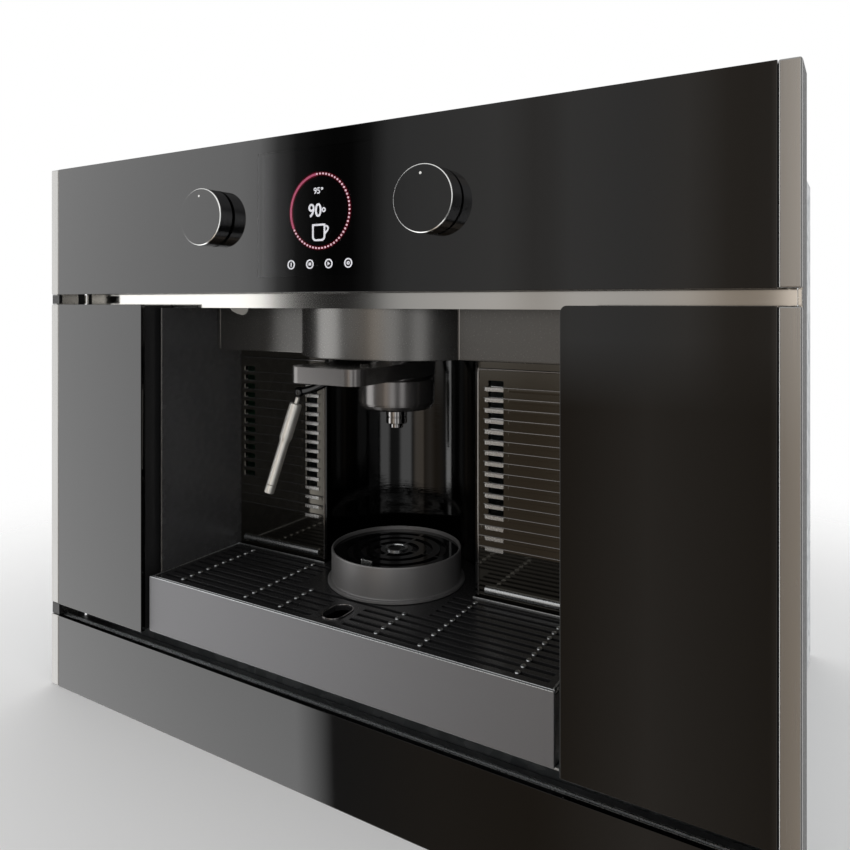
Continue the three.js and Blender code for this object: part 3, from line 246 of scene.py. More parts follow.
def from_curve(curve):
    """The mesh that a curve or a text makes."""
    held = bpy.data.objects.new(curve.name, curve)
    scene.collection.objects.link(held)
    bpy.context.view_layer.update()
    bm = bmesh.new()
    bm.from_mesh(held.to_mesh())
    held.to_mesh_clear()
    bpy.data.objects.remove(held)
    return bm


def make_piece(name, bm, material, body, replaces=(), sharp=32.0, more=()):
    """Brings a shape to the row frame as an object that rides on a body."""
    bmesh.ops.scale(bm, vec=(MM, MM, MM), verts=bm.verts)
    bmesh.ops.translate(bm, vec=(0, FRONT_Y, 0), verts=bm.verts)
    mesh = bpy.data.meshes.new(name)
    bm.to_mesh(mesh)
    bm.free()
    mesh.shade_smooth()
    mesh.set_sharp_from_angle(angle=math.radians(sharp))
    for finish in (material, *more):
        mesh.materials.append(finish)
    piece = bpy.data.objects.new(name, mesh)
    scene.collection.objects.link(piece)
    flats = piece.modifiers.new("flats_stay_flat", "WEIGHTED_NORMAL")
    flats.keep_sharp = True
    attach(piece, body)
    if replaces:
        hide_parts(*replaces)
    return piece


# ---- materials ----
def srgb(code):
    """A colour written as sRGB hex, turned to the linear values that shaders take."""
    parts = [int(code[i:i + 2], 16) / 255 for i in (1, 3, 5)]
    return tuple(p / 12.92 if p <= 0.04045 else ((p + 0.055) / 1.055) ** 2.4 for p in parts) + (1.0,)


def add_node(tree, kind, settings=None, links=None):
    """Adds a node, sets its properties and sockets, and links its inputs."""
    node = tree.nodes.new(kind)
    for key, value in (settings or {}).items():
        if key == "stops":
            ramp = node.color_ramp
            while len(ramp.elements) > 1:
                ramp.elements.remove(ramp.elements[-1])
            ramp.elements[0].position, ramp.elements[0].color = value[0]
            for position, colour in value[1:]:
                ramp.elements.new(position).color = colour
        elif isinstance(key, int) or key in node.inputs:
            node.inputs[key].default_value = value
        else:
            setattr(node, key, value)
    for key, source in (links or {}).items():
        tree.links.new(source, node.inputs[key])
    return node


def new_material(name, values):
    """A material whose shader holds these uniform values on its own sockets."""
    material = bpy.data.materials.new(name)
    material.use_nodes = True
    shader = material.node_tree.nodes["Principled BSDF"]
    for socket, value in values.items():
        shader.inputs[socket].default_value = value
    return material, material.node_tree, shader


def pattern(tree, kind, sizes, settings=None):
    """A texture on Object coordinates whose cells are as large as these millimetres."""
    scale = tuple(1 / (size * MM) for size in sizes)
    place = add_node(tree, "ShaderNodeTexCoord")
    scaled = add_node(tree, "ShaderNodeMapping", {"Scale": scale}, {"Vector": place.outputs["Object"]})
    return add_node(tree, kind, {"Scale": 1.0, **(settings or {})}, {"Vector": scaled.outputs[0]})


def roughen(tree, shader, source, reach, rough, relief=None):
    """Turns the reach of a pattern's values into a range of roughness and, if asked, into bumps of
    a (strength, height in millimetres)."""
    limits = dict(zip(("From Min", "From Max", "To Min", "To Max"), (*reach, *rough)))
    spread = add_node(tree, "ShaderNodeMapRange", limits, {"Value": source})
    tree.links.new(spread.outputs[0], shader.inputs["Roughness"])
    if relief:
        sizes = {"Strength": relief[0], "Distance": relief[1] * MM}
        bumps = add_node(tree, "ShaderNodeBump", sizes, {"Height": source})
        tree.links.new(bumps.outputs[0], shader.inputs["Normal"])


def coated_glass(name):
    """Toughened glass with a dark print behind it: a black mirror whose gloss is broken only by
    faint wiping marks."""
    values = {"Base Color": srgb("#020202"), "Roughness": 0.02, "IOR": 1.52}
    material, tree, shader = new_material(name, values)
    wiped = pattern(tree, "ShaderNodeTexNoise", (60, 60, 18), {"Detail": 3.0})
    roughen(tree, shader, wiped.outputs[0], (0.35, 0.75), (0.015, 0.035))
    return material


def clear_glass(name):
    """The same pane where it has no print: smoked glass that the screen is seen through."""
    values = {"Base Color": srgb("#6b6b6e"), "Roughness": 0.005, "IOR": 1.52, "Transmission Weight": 1.0}
    return new_material(name, values)[0]


def brushed_steel(name, colour, sizes, rough, relief):
    """Stainless steel brushed along its length: reflections are drawn out across the fine lines.
    The lines are drawn about 0.8 mm apart, coarser than real ones, so that they show."""
    values = {"Base Color": srgb(colour), "Metallic": 1.0, "Roughness": rough[0]}
    material, tree, shader = new_material(name, values)
    lines = pattern(tree, "ShaderNodeTexNoise", sizes, {"Detail": 3.0})
    roughen(tree, shader, lines.outputs[0], (0.3, 0.7), rough, (relief, 0.01))
    return material


def satin_metal(name, colour, metallic=1.0, rough=(0.28, 0.32), relief=0.02):
    """Metal blasted fine and lacquered: soft wide highlights, with a 1 mm grit that is only just felt."""
    values = {"Base Color": srgb(colour), "Metallic": metallic, "Roughness": rough[0]}
    material, tree, shader = new_material(name, values)
    specks = pattern(tree, "ShaderNodeTexNoise", (1, 1, 1), {"Detail": 2.0})
    roughen(tree, shader, specks.outputs[0], (0.3, 0.7), rough, (relief, 0.01))
    return material


def polished(name, colour, metallic, rough, ior=None, waves=(9, 9, 9), relief=0.05, clear=0.0):
    """A smooth polished surface: sharp reflections that wander a little, as a pressed or moulded
    surface is never quite flat."""
    values = {"Base Color": srgb(colour), "Metallic": metallic, "Roughness": rough,
              "Transmission Weight": clear}
    if ior:
        values["IOR"] = ior
    material, tree, shader = new_material(name, values)
    swell = pattern(tree, "ShaderNodeTexNoise", waves, {"Detail": 2.0})
    roughen(tree, shader, swell.outputs[0], (0.3, 0.75), (rough, rough * 1.5), (relief, 0.05))
    return material


def moulded_plastic(name, colour, rough=(0.42, 0.6), grain=1.2):
    """Moulded ABS with a spark eroded grain: a dull even black with tiny pits."""
    values = {"Base Color": srgb(colour), "Roughness": rough[0], "IOR": 1.5}
    material, tree, shader = new_material(name, values)
    pits = pattern(tree, "ShaderNodeTexVoronoi", (grain, grain, grain), {"feature": "F1"})
    roughen(tree, shader, pits.outputs["Distance"], (0.0, 0.8), (rough[1], rough[0]), (0.2, 0.04))
    return material


def galvanised_sheet(name):
    """Hot dip galvanised steel: frosty zinc flowers, each 6 to 10 mm across and of its own grey."""
    material, tree, shader = new_material(name, {"Metallic": 1.0, "Roughness": 0.4})
    flowers = pattern(tree, "ShaderNodeTexVoronoi", (8, 8, 8))
    shade = add_node(tree, "ShaderNodeSeparateColor", {}, {0: flowers.outputs["Color"]})
    greys = [(0.0, srgb("#a2a7aa")), (0.5, srgb("#b4b8ba")), (1.0, srgb("#c6c9cb"))]
    tone = add_node(tree, "ShaderNodeValToRGB", {"stops": greys}, {"Fac": shade.outputs[0]})
    tree.links.new(tone.outputs[0], shader.inputs["Base Color"])
    roughen(tree, shader, shade.outputs[1], (0.0, 1.0), (0.32, 0.5))
    return material


def circuit_board(name):
    """Glass fibre board under green resist: darker where copper tracks run beneath it."""
    material, tree, shader = new_material(name, {"Roughness": 0.35, "IOR": 1.5})
    tracks = pattern(tree, "ShaderNodeTexVoronoi", (5, 5, 5), {"distance": "MANHATTAN", "feature": "F1"})
    greens = [(0.0, srgb("#3f7f55")), (0.35, srgb("#1f5a38")), (1.0, srgb("#174a2d"))]
    tone = add_node(tree, "ShaderNodeValToRGB", {"stops": greens}, {"Fac": tracks.outputs["Distance"]})
    tree.links.new(tone.outputs[0], shader.inputs["Base Color"])
    return material


def lit_mark(name, colour, strength):
    """Light that comes through a mark of the screen: plain, and a little dimmer in spots of 1.5 mm."""
    values = {"Base Color": srgb("#050505"), "Roughness": 0.5, "IOR": 1.02, "Emission Strength": strength}
    material, tree, shader = new_material(name, values)
    cells = pattern(tree, "ShaderNodeTexNoise", (1.5, 1.5, 1.5))
    pale = srgb(colour)
    dim = tuple(0.8 * c for c in pale[:3]) + (1.0,)
    tones = [(0.3, dim), (0.6, pale)]
    tone = add_node(tree, "ShaderNodeValToRGB", {"stops": tones}, {"Fac": cells.outputs[0]})
    tree.links.new(tone.outputs[0], shader.inputs["Emission Color"])
    return material


GLASS_FINISH = coated_glass("dark_coated_glass")
WINDOW_FINISH = clear_glass("smoked_clear_glass")
STRIP_FINISH = brushed_steel("brushed_stainless_upright", "#8f8e8c", (0.8, 0.8, 60), (0.2, 0.28), 0.03)
BAR_FINISH = brushed_steel("brushed_stainless_across", "#bab8b4", (70, 0.8, 0.8), (0.07, 0.085), 0)
RAIL_FINISH = satin_metal("anodised_aluminium", "#b9bbbc", rough=(0.25, 0.32))
LACQUER_FINISH = satin_metal("dark_metallic_lacquer", "#686765", 0.88, (0.26, 0.275), relief=0)
GRIP_FINISH = satin_metal("satin_black_chrome", "#6b6968", 0.88, (0.21, 0.225), relief=0)
TRAY_FINISH = satin_metal("satin_grey_steel", "#6f6f71", 0.8, (0.42, 0.5))
DRUM_FINISH = satin_metal("satin_dark_steel", "#787777", 0.55, (0.36, 0.44))
GRILLE_FINISH = satin_metal("dark_satin_enamel", "#242425", 0.2, (0.2, 0.28))
PALE_FINISH = satin_metal("pale_steel", "#c9c6c0", rough=(0.22, 0.28))
RUNG_FINISH = satin_metal("satin_chrome", "#c6c6c5", 0.8, (0.24, 0.28))
PARTS_FINISH = satin_metal("zinc_plated_steel", "#a9aaab", rough=(0.3, 0.42))
WAND_FINISH = polished("polished_stainless", "#d2d0ca", 0.75, 0.3)
CHROME_FINISH = polished("dark_chrome", "#8d8b8a", 1.0, 0.1)
LOUVRE_FINISH = polished("glossy_metallic_lacquer", "#58554f", 0.95, 0.05, waves=(14, 14, 14))
BLACK_FINISH = polished("piano_black_lacquer", "#070708", 0.0, 0.05, 1.5)
RECESS_FINISH = polished("drawn_black_enamel", "#010101", 0.0, 0.035, 1.5, (14, 14, 0.8), 0.7)
KNOB_FACE_FINISH = polished("knob_black_lacquer", "#060606", 0.0, 0.08, 1.52)
KNOB_SIDE_FINISH = polished("black_chrome", "#949496", 1.0, 0.08)
EDGE_FINISH = polished("diamond_cut_aluminium", "#e6e6e4", 1.0, 0.16)
WALL_FINISH = polished("grey_enamel", "#3e3e3f", 0.0, 0.22, 1.5)
LENS_FINISH = polished("frosted_lamp_lens", "#cfcdc8", 0.0, 0.4, 1.5)
HEAD_FINISH = polished("nickel_plated_brass", "#b4b1aa", 1.0, 0.2)
BRASS_FINISH = polished("drawn_brass", "#b8945a", 1.0, 0.26)
SCREEN_FINISH = polished("black_screen", "#020202", 0.0, 0.4, 1.02)
TANK_FINISH = polished("smoked_copolyester", "#8f9498", 0.0, 0.06, 1.55, clear=0.9)
PLASTIC_FINISH = moulded_plastic("moulded_black_abs", "#161617")
RUBBER_FINISH = moulded_plastic("moulded_nylon", "#232324", (0.5, 0.7), 0.8)
DOT_FINISH = moulded_plastic("white_inlay", "#e8e8e6", (0.3, 0.4))
SHEET_FINISH = galvanised_sheet("galvanised_sheet")
BOARD_FINISH = circuit_board("circuit_board")
WHITE_LIGHT = lit_mark("screen_white", "#f4f3f3", 6.2)
ROSE_LIGHT = lit_mark("screen_rose", "#c4617c", 5.5)
PINK_LIGHT = lit_mark("screen_pink", "#f6ccd3", 6.2)
GLOW_LIGHT = lit_mark("screen_glow", "#560a18", 5.0)

# The solids that stay as they are, under finishes of their own.
KEPT = {
    SHEET_FINISH: ("base_plate", "side_left", "side_right", "top_cover", "rear_cover", "front_lower_bar",
                   "front_stile_left", "front_stile_right", "floor_shelf"),
    PLASTIC_FINISH: ("power_inlet", "fascia_housing", "left_backing", "right_backing", "lower_backing",
                     "tray_basin", "tank_lid"),
    RUBBER_FINISH: ("skid_left", "skid_right"),
    BAR_FINISH: ("front_crossbar",),
    SCREEN_FINISH: ("display_module",),
    BOARD_FINISH: ("control_board", "power_board"),
    PARTS_FINISH: ("encoder_left", "encoder_right", "pump"),
    HEAD_FINISH: ("group_head", "filter_basket"),
    BRASS_FINISH: ("boiler",),
    TANK_FINISH: ("water_tank",),
}
for finish, names in KEPT.items():
    for name in names:
        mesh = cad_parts[name].data
        mesh.materials.clear()
        mesh.materials.append(finish)


# ---- front bands ----
def fascia_pane():
    """One closed pane. Its two faces over the screen are left without the dark print."""
    window = box_outline(-WINDOW_HALF, WINDOW_HALF, *WINDOW)
    holes = [circle(x, KNOB_Z, 4.9, 48) for x in (-KNOB_X, KNOB_X)]
    bm = plate(box_outline(-PANE_EDGE, PANE_EDGE, *FASCIA), "front", 0, GLASS, [window, *holes])

    def at_rim(edge):
        return all(
            abs(v.co.x) > PANE_EDGE - 0.1 or not FASCIA[0] + 0.1 < v.co.z < FASCIA[1] - 0.1
            for v in edge.verts
        )

    def on_window_side(face):
        spot = face.calc_center_median()
        in_window = abs(spot.x) < WINDOW_HALF + 0.1 and WINDOW[0] - 0.1 < spot.z < WINDOW[1] + 0.1
        return in_window and abs(face.normal.y) < 0.1

    bevel_sharp(bm, 0.35, 2, keep=at_rim)
    bm.normal_update()
    bmesh.ops.delete(bm, geom=[f for f in bm.faces if on_window_side(f)], context="FACES_ONLY")
    for depth in (0, GLASS):
        corners = []
        for x, z in window:
            corners += [v for v in bm.verts if (v.co - Vector((x, depth, z))).length < 0.01]
        bm.faces.new(corners).material_index = 1
    bmesh.ops.recalc_face_normals(bm, faces=bm.faces)
    return bm


def build_panes():
    make_piece("fascia_pane", fascia_pane(), GLASS_FINISH, "machine", ["fascia_glass"],
               more=(WINDOW_FINISH,))
    left = block((-PANE_EDGE, -PANEL_INNER), (0, GLASS), MIDDLE)
    make_piece("left_pane", left, GLASS_FINISH, "machine", ["left_glass"])
    door = [(PANEL_INNER, MIDDLE[0]), (PANE_EDGE, MIDDLE[0]), (PANE_EDGE, MIDDLE[1])]
    door += arc(PANEL_INNER + 4, MIDDLE[1] - 4, 4, 90, 180, 8)
    right = bevel_sharp(plate(door, "front", 0, GLASS), 0.4)
    make_piece("right_pane", right, GLASS_FINISH, "tank_drawer", ["right_glass"])
    lower = block((-PANE_EDGE, PANE_EDGE), (0, GLASS), (0, LOWER_TOP))
    make_piece("lower_pane", lower, GLASS_FINISH, "machine", ["lower_glass"])


def build_edge_strips():
    """Stainless strips with rounded edges, each with a leg that holds it."""
    for side, word in SIDES:
        panel = "machine" if side < 0 else "tank_drawer"
        for name, node, z, body in (
            (f"{word}_edge_strip", f"{word}_strip", MIDDLE, panel),
            (f"fascia_edge_strip_{word}", f"fascia_strip_{word}", FASCIA, "machine"),
            (f"lower_edge_strip_{word}", f"lower_strip_{word}", (0, LOWER_TOP), "machine"),
        ):
            bm = block(span(side, STRIP_INNER, HALF), (0, GLASS), z, 1.0, 4)
            leg = span(side, HALF - 3.8, HALF - 2.3)
            bm = block(leg, (GLASS - 0.5, 12), (z[0] + 1, z[1] - 1), 0.2, 1, bm)
            make_piece(name, bm, STRIP_FINISH, body, [node])


def build_trims():
    """Thin side trims, pale where they turn inwards and black outside. What closes the gaps between
    the bands at their ends is one part, painted black on the left as painted shade and pale on the right as
    its lit side."""
    gaps = ((LOWER_TOP + 0.4, MIDDLE[0] - 0.4), (MIDDLE[1] + 0.4, FASCIA[0] - 0.4))
    for side, word in SIDES:
        sheet = span(side, HALF, HALF - 2)
        trim = block(sheet, (4.3, 25), (0, FASCIA[1]), 0.2, 1)
        painted(trim, 1, lambda face: face.normal.x * side > 0.5)
        trim = joined(trim, painted(block(sheet, (24.8, 31.45), (0, FASCIA[1]), 0.2, 1), 1))
        reach = 10.1 if side < 0 else 2
        for gap in gaps:
            filler = block(span(side, HALF - 0.2, HALF - reach), (0.9, 4.1), gap, 0.2, 1)
            # painted shade: the same filler is painted black on the shaded left and pale on the lit right
            trim = joined(trim, painted(filler, 1 if side < 0 else 0))
            trim = block(span(side, 293.2, 295.6), (30, 31.4), gap, 0, bm=trim)
        make_piece(f"trim_{word}", trim, PALE_FINISH, "machine", [f"side_trim_{word}"],
                   more=(PLASTIC_FINISH,))


def build_rail():
    """Rail on the lower pane's top edge: two bright lines with a groove between, and a leg."""
    along = (-PANE_EDGE, PANE_EDGE)
    rail = block(along, (GLASS + 0.3, 5.6), (LOWER_TOP - 1.3, LOWER_TOP), 0.25)
    rail = block(along, (GLASS + 0.5, 8), (LOWER_TOP - 1.3, LOWER_TOP - 0.9), 0, bm=rail)
    rail = block(along, (6.7, 8.3), (LOWER_TOP - 1.3, LOWER_TOP), 0.25, bm=rail)
    rail = block(along, (7, 8.3), (50, LOWER_TOP - 0.6), 0.2, 1, rail)
    make_piece("lower_cap_rail", rail, RAIL_FINISH, "machine", ["lower_rail"])


# ---- knobs ----
def build_knobs():
    """Turned knobs: a black face, a bright cut edge and a mirror black side."""
    for side, word in SIDES:
        x = side * KNOB_X
        rim = [(0, KNOB_FRONT + 0.02), (20.35, KNOB_FRONT + 0.02), (20.8, KNOB_FRONT + 0.35)]
        skirt = [(KNOB_RADIUS, KNOB_FRONT + 0.75), (KNOB_RADIUS, -1.4), (20.3, -0.8), (18.6, -0.8)]
        shaft = [(18.6, -9), (7, -9), (7, -0.8), (3, -0.8), (3, 21), (0, 21)]
        bm = turned(rim + skirt + shaft, (x, KNOB_Z), 128, along="y")
        for face in bm.faces:
            spot = face.calc_center_median()
            if spot.y > KNOB_FRONT + 0.7:
                face.material_index = 2
            elif math.hypot(spot.x - x, spot.z - KNOB_Z) > 20.4:
                face.material_index = 1
        make_piece(f"knob_{word}_turned", bm, KNOB_FACE_FINISH, f"{word}_knob", [f"knob_{word}"],
                   sharp=20, more=(EDGE_FINISH, KNOB_SIDE_FINISH))
        dot = [(0, KNOB_FRONT), (0.85, KNOB_FRONT), (0.9, KNOB_FRONT + 0.2), (0, KNOB_FRONT + 0.2)]
        dot = turned(dot, (x - 1.1, KNOB_Z + 15.3), 24, along="y")
        make_piece(f"knob_{word}_dot", dot, DOT_FINISH, f"{word}_knob")


# ---- display ----
def write_number(name, words, x, z):
    """A lit number that fills a box on the floor of the screen."""
    curve = bpy.data.curves.new(name, "FONT")
    curve.body = words
    curve.size = 10
    curve.offset = 0.12
    curve.extrude = 0.12
    bm = from_curve(curve)
    low, high = ([end(v.co[i] for v in bm.verts) for i in (0, 1)] for end in (min, max))
    size = ((x[1] - x[0]) / (high[0] - low[0]), (z[1] - z[0]) / (high[1] - low[1]), 1)
    upright = Matrix.Rotation(math.pi / 2, 3, "X")
    bmesh.ops.translate(bm, verts=bm.verts, vec=(-low[0], -low[1], 0))
    bmesh.ops.scale(bm, verts=bm.verts, vec=size)
    bmesh.ops.rotate(bm, verts=bm.verts, cent=(0, 0, 0), matrix=upright)
    bmesh.ops.translate(bm, vec=(x[0] + SHIFT, MARK_FRONT + 0.15, z[0]), verts=bm.verts)
    make_piece(name, bm, WHITE_LIGHT, "machine")


def lit_plate(outline, holes=(), bm=None, front=MARK_FRONT):
    """A lit mark on the floor of the screen."""
    return plate(outline, "front", front, DISPLAY_FLOOR, holes, bm)


def lit_ring(x, z, outer, inner, bm=None, points=36):
    return lit_plate(circle(x, z, outer, points), [circle(x, z, inner, points)], bm)


def dial_bar(width, start, end, steps, bm=None, front=MARK_FRONT):
    """A bent bar on the circle of the dial."""
    outer = arc(*DIAL, DIAL_RADIUS + width / 2, start, end, steps)
    inner = arc(*DIAL, DIAL_RADIUS - width / 2, end, start, steps)
    return lit_plate(outer + inner, bm=bm, front=front)


def add_cup(marks):
    """A cup with an ear, drawn as outlines of even width."""
    first = len(marks.verts)
    outer = [(-6.5, 392.1), *arc(-3.3, 383.5, 3.2, 180, 270, 8), *arc(1.7, 383.5, 3.2, 270, 360, 8),
             (4.9, 392.1)]
    inner = [(-5.2, 390.8), *arc(-3.2, 383.6, 2.0, 180, 270, 8), *arc(1.6, 383.6, 2.0, 270, 360, 8),
             (3.6, 390.8)]
    marks = lit_plate(outer, [inner], marks)
    outer = [(4.9, 391.0), *arc(5.6, 388.7, 2.3, 80, -40, 10), (4.9, 384.6)]
    inner = [(4.9, 389.9), *arc(5.5, 388.6, 1.25, 75, -35, 8), (4.9, 386.4)]
    marks = lit_plate(outer + inner[::-1], bm=marks)
    bmesh.ops.translate(marks, verts=list(marks.verts)[first:], vec=(SHIFT, 0, 0))
    return marks


def add_icons(marks):
    """Four ringed icons: a bar, a square, an arrow and a smaller ring."""
    places = [middle + SHIFT for middle in (-25.5, -8.6, 7.8, 24.4)]
    for x in places:
        marks = lit_ring(x, ICON_Z, 3.3, 2.4, marks, 48)
    bar, square, arrow, ring = places
    marks = block((bar - 0.4, bar + 0.4), (MARK_FRONT, DISPLAY_FLOOR), (363.2, 366.1), 0, bm=marks)
    marks = lit_plate(rounded_outline(square - 1.1, square + 1.1, 363.6, 365.8, 0.4), bm=marks)
    marks = lit_plate([(arrow - 0.9, 363.3), (arrow + 1.3, ICON_Z), (arrow - 0.9, 365.9)], bm=marks)
    return lit_ring(ring, ICON_Z, 1.25, 0.5, marks, 24)


def build_display():
    """The lit dial: a rose arc on the left, beads round the rest, a red glow behind both, numbers,
    a cup and four icons."""
    glow = dial_bar(3.4, 95, 205, 60, front=MARK_FRONT + 0.2)
    glow = dial_bar(2.6, 205, 455, 120, glow, MARK_FRONT + 0.2)
    make_piece("dial_glow", glow, GLOW_LIGHT, "machine")
    make_piece("dial_arc", dial_bar(1.5, 97, 206, 60), ROSE_LIGHT, "machine")
    bead = [(0, MARK_FRONT - 0.1), (0.72, MARK_FRONT - 0.1), (0.72, DISPLAY_FLOOR), (0, DISPLAY_FLOOR)]
    beads = None
    for step in range(42):
        angle = math.radians(209 + step * 6)
        x = DIAL[0] + DIAL_RADIUS * math.cos(angle)
        z = DIAL[1] + DIAL_RADIUS * math.sin(angle)
        beads = turned(bead, (x, z), 12, along="y", bm=beads)
    make_piece("dial_beads", beads, PINK_LIGHT, "machine")
    write_number("dial_number", "90", (-9.8, 1.6), (396.9, 406.3))
    write_number("dial_small_number", "95", (-5.1, 0.3), (412.9, 417.3))
    marks = lit_ring(3.6 + SHIFT, 401.6, 1.7, 0.75)
    marks = lit_ring(2.1 + SHIFT, 416.2, 0.95, 0.4, marks)
    make_piece("dial_marks", add_icons(add_cup(marks)), WHITE_LIGHT, "machine")


# ---- niche ----
def housing_outline(offset, back):
    """Plan of the housing: two flats and a round nose, moved in by an offset."""
    face, radius, side = HOUSING_FACE + offset, NOSE_RADIUS - offset, NICHE_HALF - 0.3 - offset
    half = math.degrees(math.acos((NOSE_CENTRE - face) / radius))
    nose = arc(0, NOSE_CENTRE, radius, -90 - half, -90 + half, 72)
    return [(-side, back), (-side, face), *nose, (side, face), (side, back)]


def from_axis(vert, axis=AXIS):
    """How far a vertex is from an upright axis."""
    return math.hypot(vert.co.x - axis[0], vert.co.y - axis[1])


def build_housing():
    back = BACK_FACE - 0.3
    outer = housing_outline(0, back)
    walls = plate(outer + housing_outline(2, back)[::-1], "plan", CEILING + 1.5, HOUSING_TOP)
    holes = [circle(*AXIS, 36.3, 72), circle(*WAND_EXIT, 5.3, 24)]
    bottom = outer + arc(*AXIS, RECESS_RADIUS, 0.5, 179.5, 48)
    floor = plate(bottom, "plan", CEILING, CEILING + 1.5, holes)

    def lower_front(edge):
        return all(
            v.co.z < CEILING + 0.1 and v.co.y < back - 1
            and from_axis(v) > 40 and from_axis(v, WAND_EXIT) > 8
            for v in edge.verts
        )

    bevel_sharp(floor, 0.9, 3, keep=lower_front)
    make_piece("group_cover", joined(walls, floor), LACQUER_FINISH, "machine", ["group_housing"],
               sharp=28)
    junction = math.sqrt(NOSE_RADIUS ** 2 - (NOSE_CENTRE - HOUSING_FACE) ** 2)
    seam = (HOUSING_FACE - 0.5, HOUSING_FACE + 0.5)
    beads = None
    for x in (-167.4, -junction - 1.6, junction + 1.2):
        beads = block((x - 0.4, x + 0.4), seam, (CEILING + 0.6, HOUSING_TOP), 0.3, 2, beads)
    make_piece("cover_seam_beads", beads, CHROME_FINISH, "machine")
    lens = [(-157, 335), (-152, 330.5), (-146, 328.2), (-140, 327.1), (-136.6, 328), (-134, 331),
            (-133.5, 335)]
    lens = plate(lens, "front", HOUSING_FACE - 0.9, HOUSING_FACE + 0.6)
    make_piece("niche_lamp_lens", lens, LENS_FINISH, "machine")


def build_niche_walls():
    """Enamelled sheets whose front edges are painted in bright aluminium as a painted highlight where the
    edge catches the light.
    """
    for side, word in SIDES:
        sheet = block(span(side, NICHE_HALF, NICHE_HALF + 1.5), (16, 109), (NICHE_FLOOR, 333.4), 0.25)
        # painted highlight: the front faces take the bright aluminium finish
        painted(sheet, 1, lambda face: face.calc_center_median().y < 16.4)
        make_piece(f"niche_sheet_{word}", sheet, WALL_FINISH, "machine", [f"niche_wall_{word}"],
                   more=(EDGE_FINISH,))


def build_recess():
    shape = arc(*AXIS, RECESS_RADIUS + 1.5, 0, 180, 90) + arc(*AXIS, RECESS_RADIUS, 180, 0, 90)
    bm = plate(shape, "plan", NICHE_FLOOR, CEILING - 0.3)
    make_piece("recess_shell", bm, RECESS_FINISH, "machine", ["recess_wall"], sharp=25)


def slat_top(row):
    """The upper edge of a row's slat, level with the lower edge of the row's openings."""
    return LADDER_TOP - row * PITCH - OPENING[1]


def at_back(front, behind):
    """Limits in depth, counted from the face of the back panels."""
    return (BACK_FACE - front, BACK_FACE + behind)


def louvre_sheet(side):
    """Sheet with two ladders of openings, and dark slats across it."""
    holes = []
    for near in COLUMNS:
        for row in range(LADDER_ROWS):
            limits = (*span(side, near, near + OPENING[0]), slat_top(row), LADDER_TOP - row * PITCH)
            holes.append(rounded_outline(*limits, 0.6, 2))
    outline = box_outline(*span(side, RECESS_EDGE, NICHE_HALF - 0.3), NICHE_FLOOR, CEILING - 0.3)
    bm = bevel_sharp(plate(outline, "front", BACK_FACE, BACK_FACE + 4, holes), 0.35, 1)
    for row in range(SLAT_ROWS):
        ends = (98, 150) if row < LADDER_ROWS else (76, 169)
        slat = (slat_top(row) - 3.3, slat_top(row) - 0.2)
        bm = block(span(side, *ends), at_back(0.5, 0.8), slat, 0.3, 2, bm)
    return bm


def louvre_lip(side):
    """Round lip that lies along the foot of the sheet."""
    near, far = RECESS_EDGE + 6.5, 165.2
    lip = [(0, near), (2.4, near), (2.9, near + 0.5), (2.9, far - 0.5), (2.4, far), (0, far)]
    lip = turned(lip, (0, 0), 32)
    across = Matrix.Rotation(side * math.pi / 2, 3, "Y")
    bmesh.ops.rotate(lip, verts=lip.verts, cent=(0, 0, 0), matrix=across)
    bmesh.ops.translate(lip, verts=lip.verts, vec=(0, BACK_FACE, 123.4))
    return painted(lip, 1)


def louvre_beads(side):
    """Rounded chrome beads beside the recess, along the top and on the upper edge of each slat: painted
    highlights, brighter than the lacquer of the slats.
    """
    beads = block(span(side, 73.0, 74.0), at_back(0.9, 0.3), (118.5, 289), 0.3)
    beads = block(span(side, 74, 169), at_back(1.2, 0.5), (287.4, 289), 0.6, 3, beads)
    for row in range(SLAT_ROWS):
        start = 78 if row < LADDER_ROWS else 74
        line = (slat_top(row) - 0.75, slat_top(row) + 0.05)
        beads = block(span(side, start, 169), at_back(0.9, 0.3), line, 0.35, 2, beads)
    return beads


def build_louvres():
    """Back panels, with bright rungs on the ladders beside the recess."""
    for side, word in SIDES:
        panel = joined(louvre_sheet(side), louvre_lip(side))
        make_piece(f"louvre_{word}_panel", panel, LOUVRE_FINISH, "machine", [f"louvre_{word}"],
                   more=(RAIL_FINISH,))
        rungs = None
        for row in range(SLAT_ROWS):
            rung = (slat_top(row) - 3.45, slat_top(row) - 0.2)
            rungs = block(span(side, 79.2, 94.2), at_back(0.8, 0.5), rung, 0.3, 2, rungs)
        make_piece(f"louvre_{word}_rungs", rungs, RUNG_FINISH, "machine")
        # painted highlight: these beads stand for the light caught on the slat edges
        make_piece(f"louvre_{word}_edges", louvre_beads(side), CHROME_FINISH, "machine")


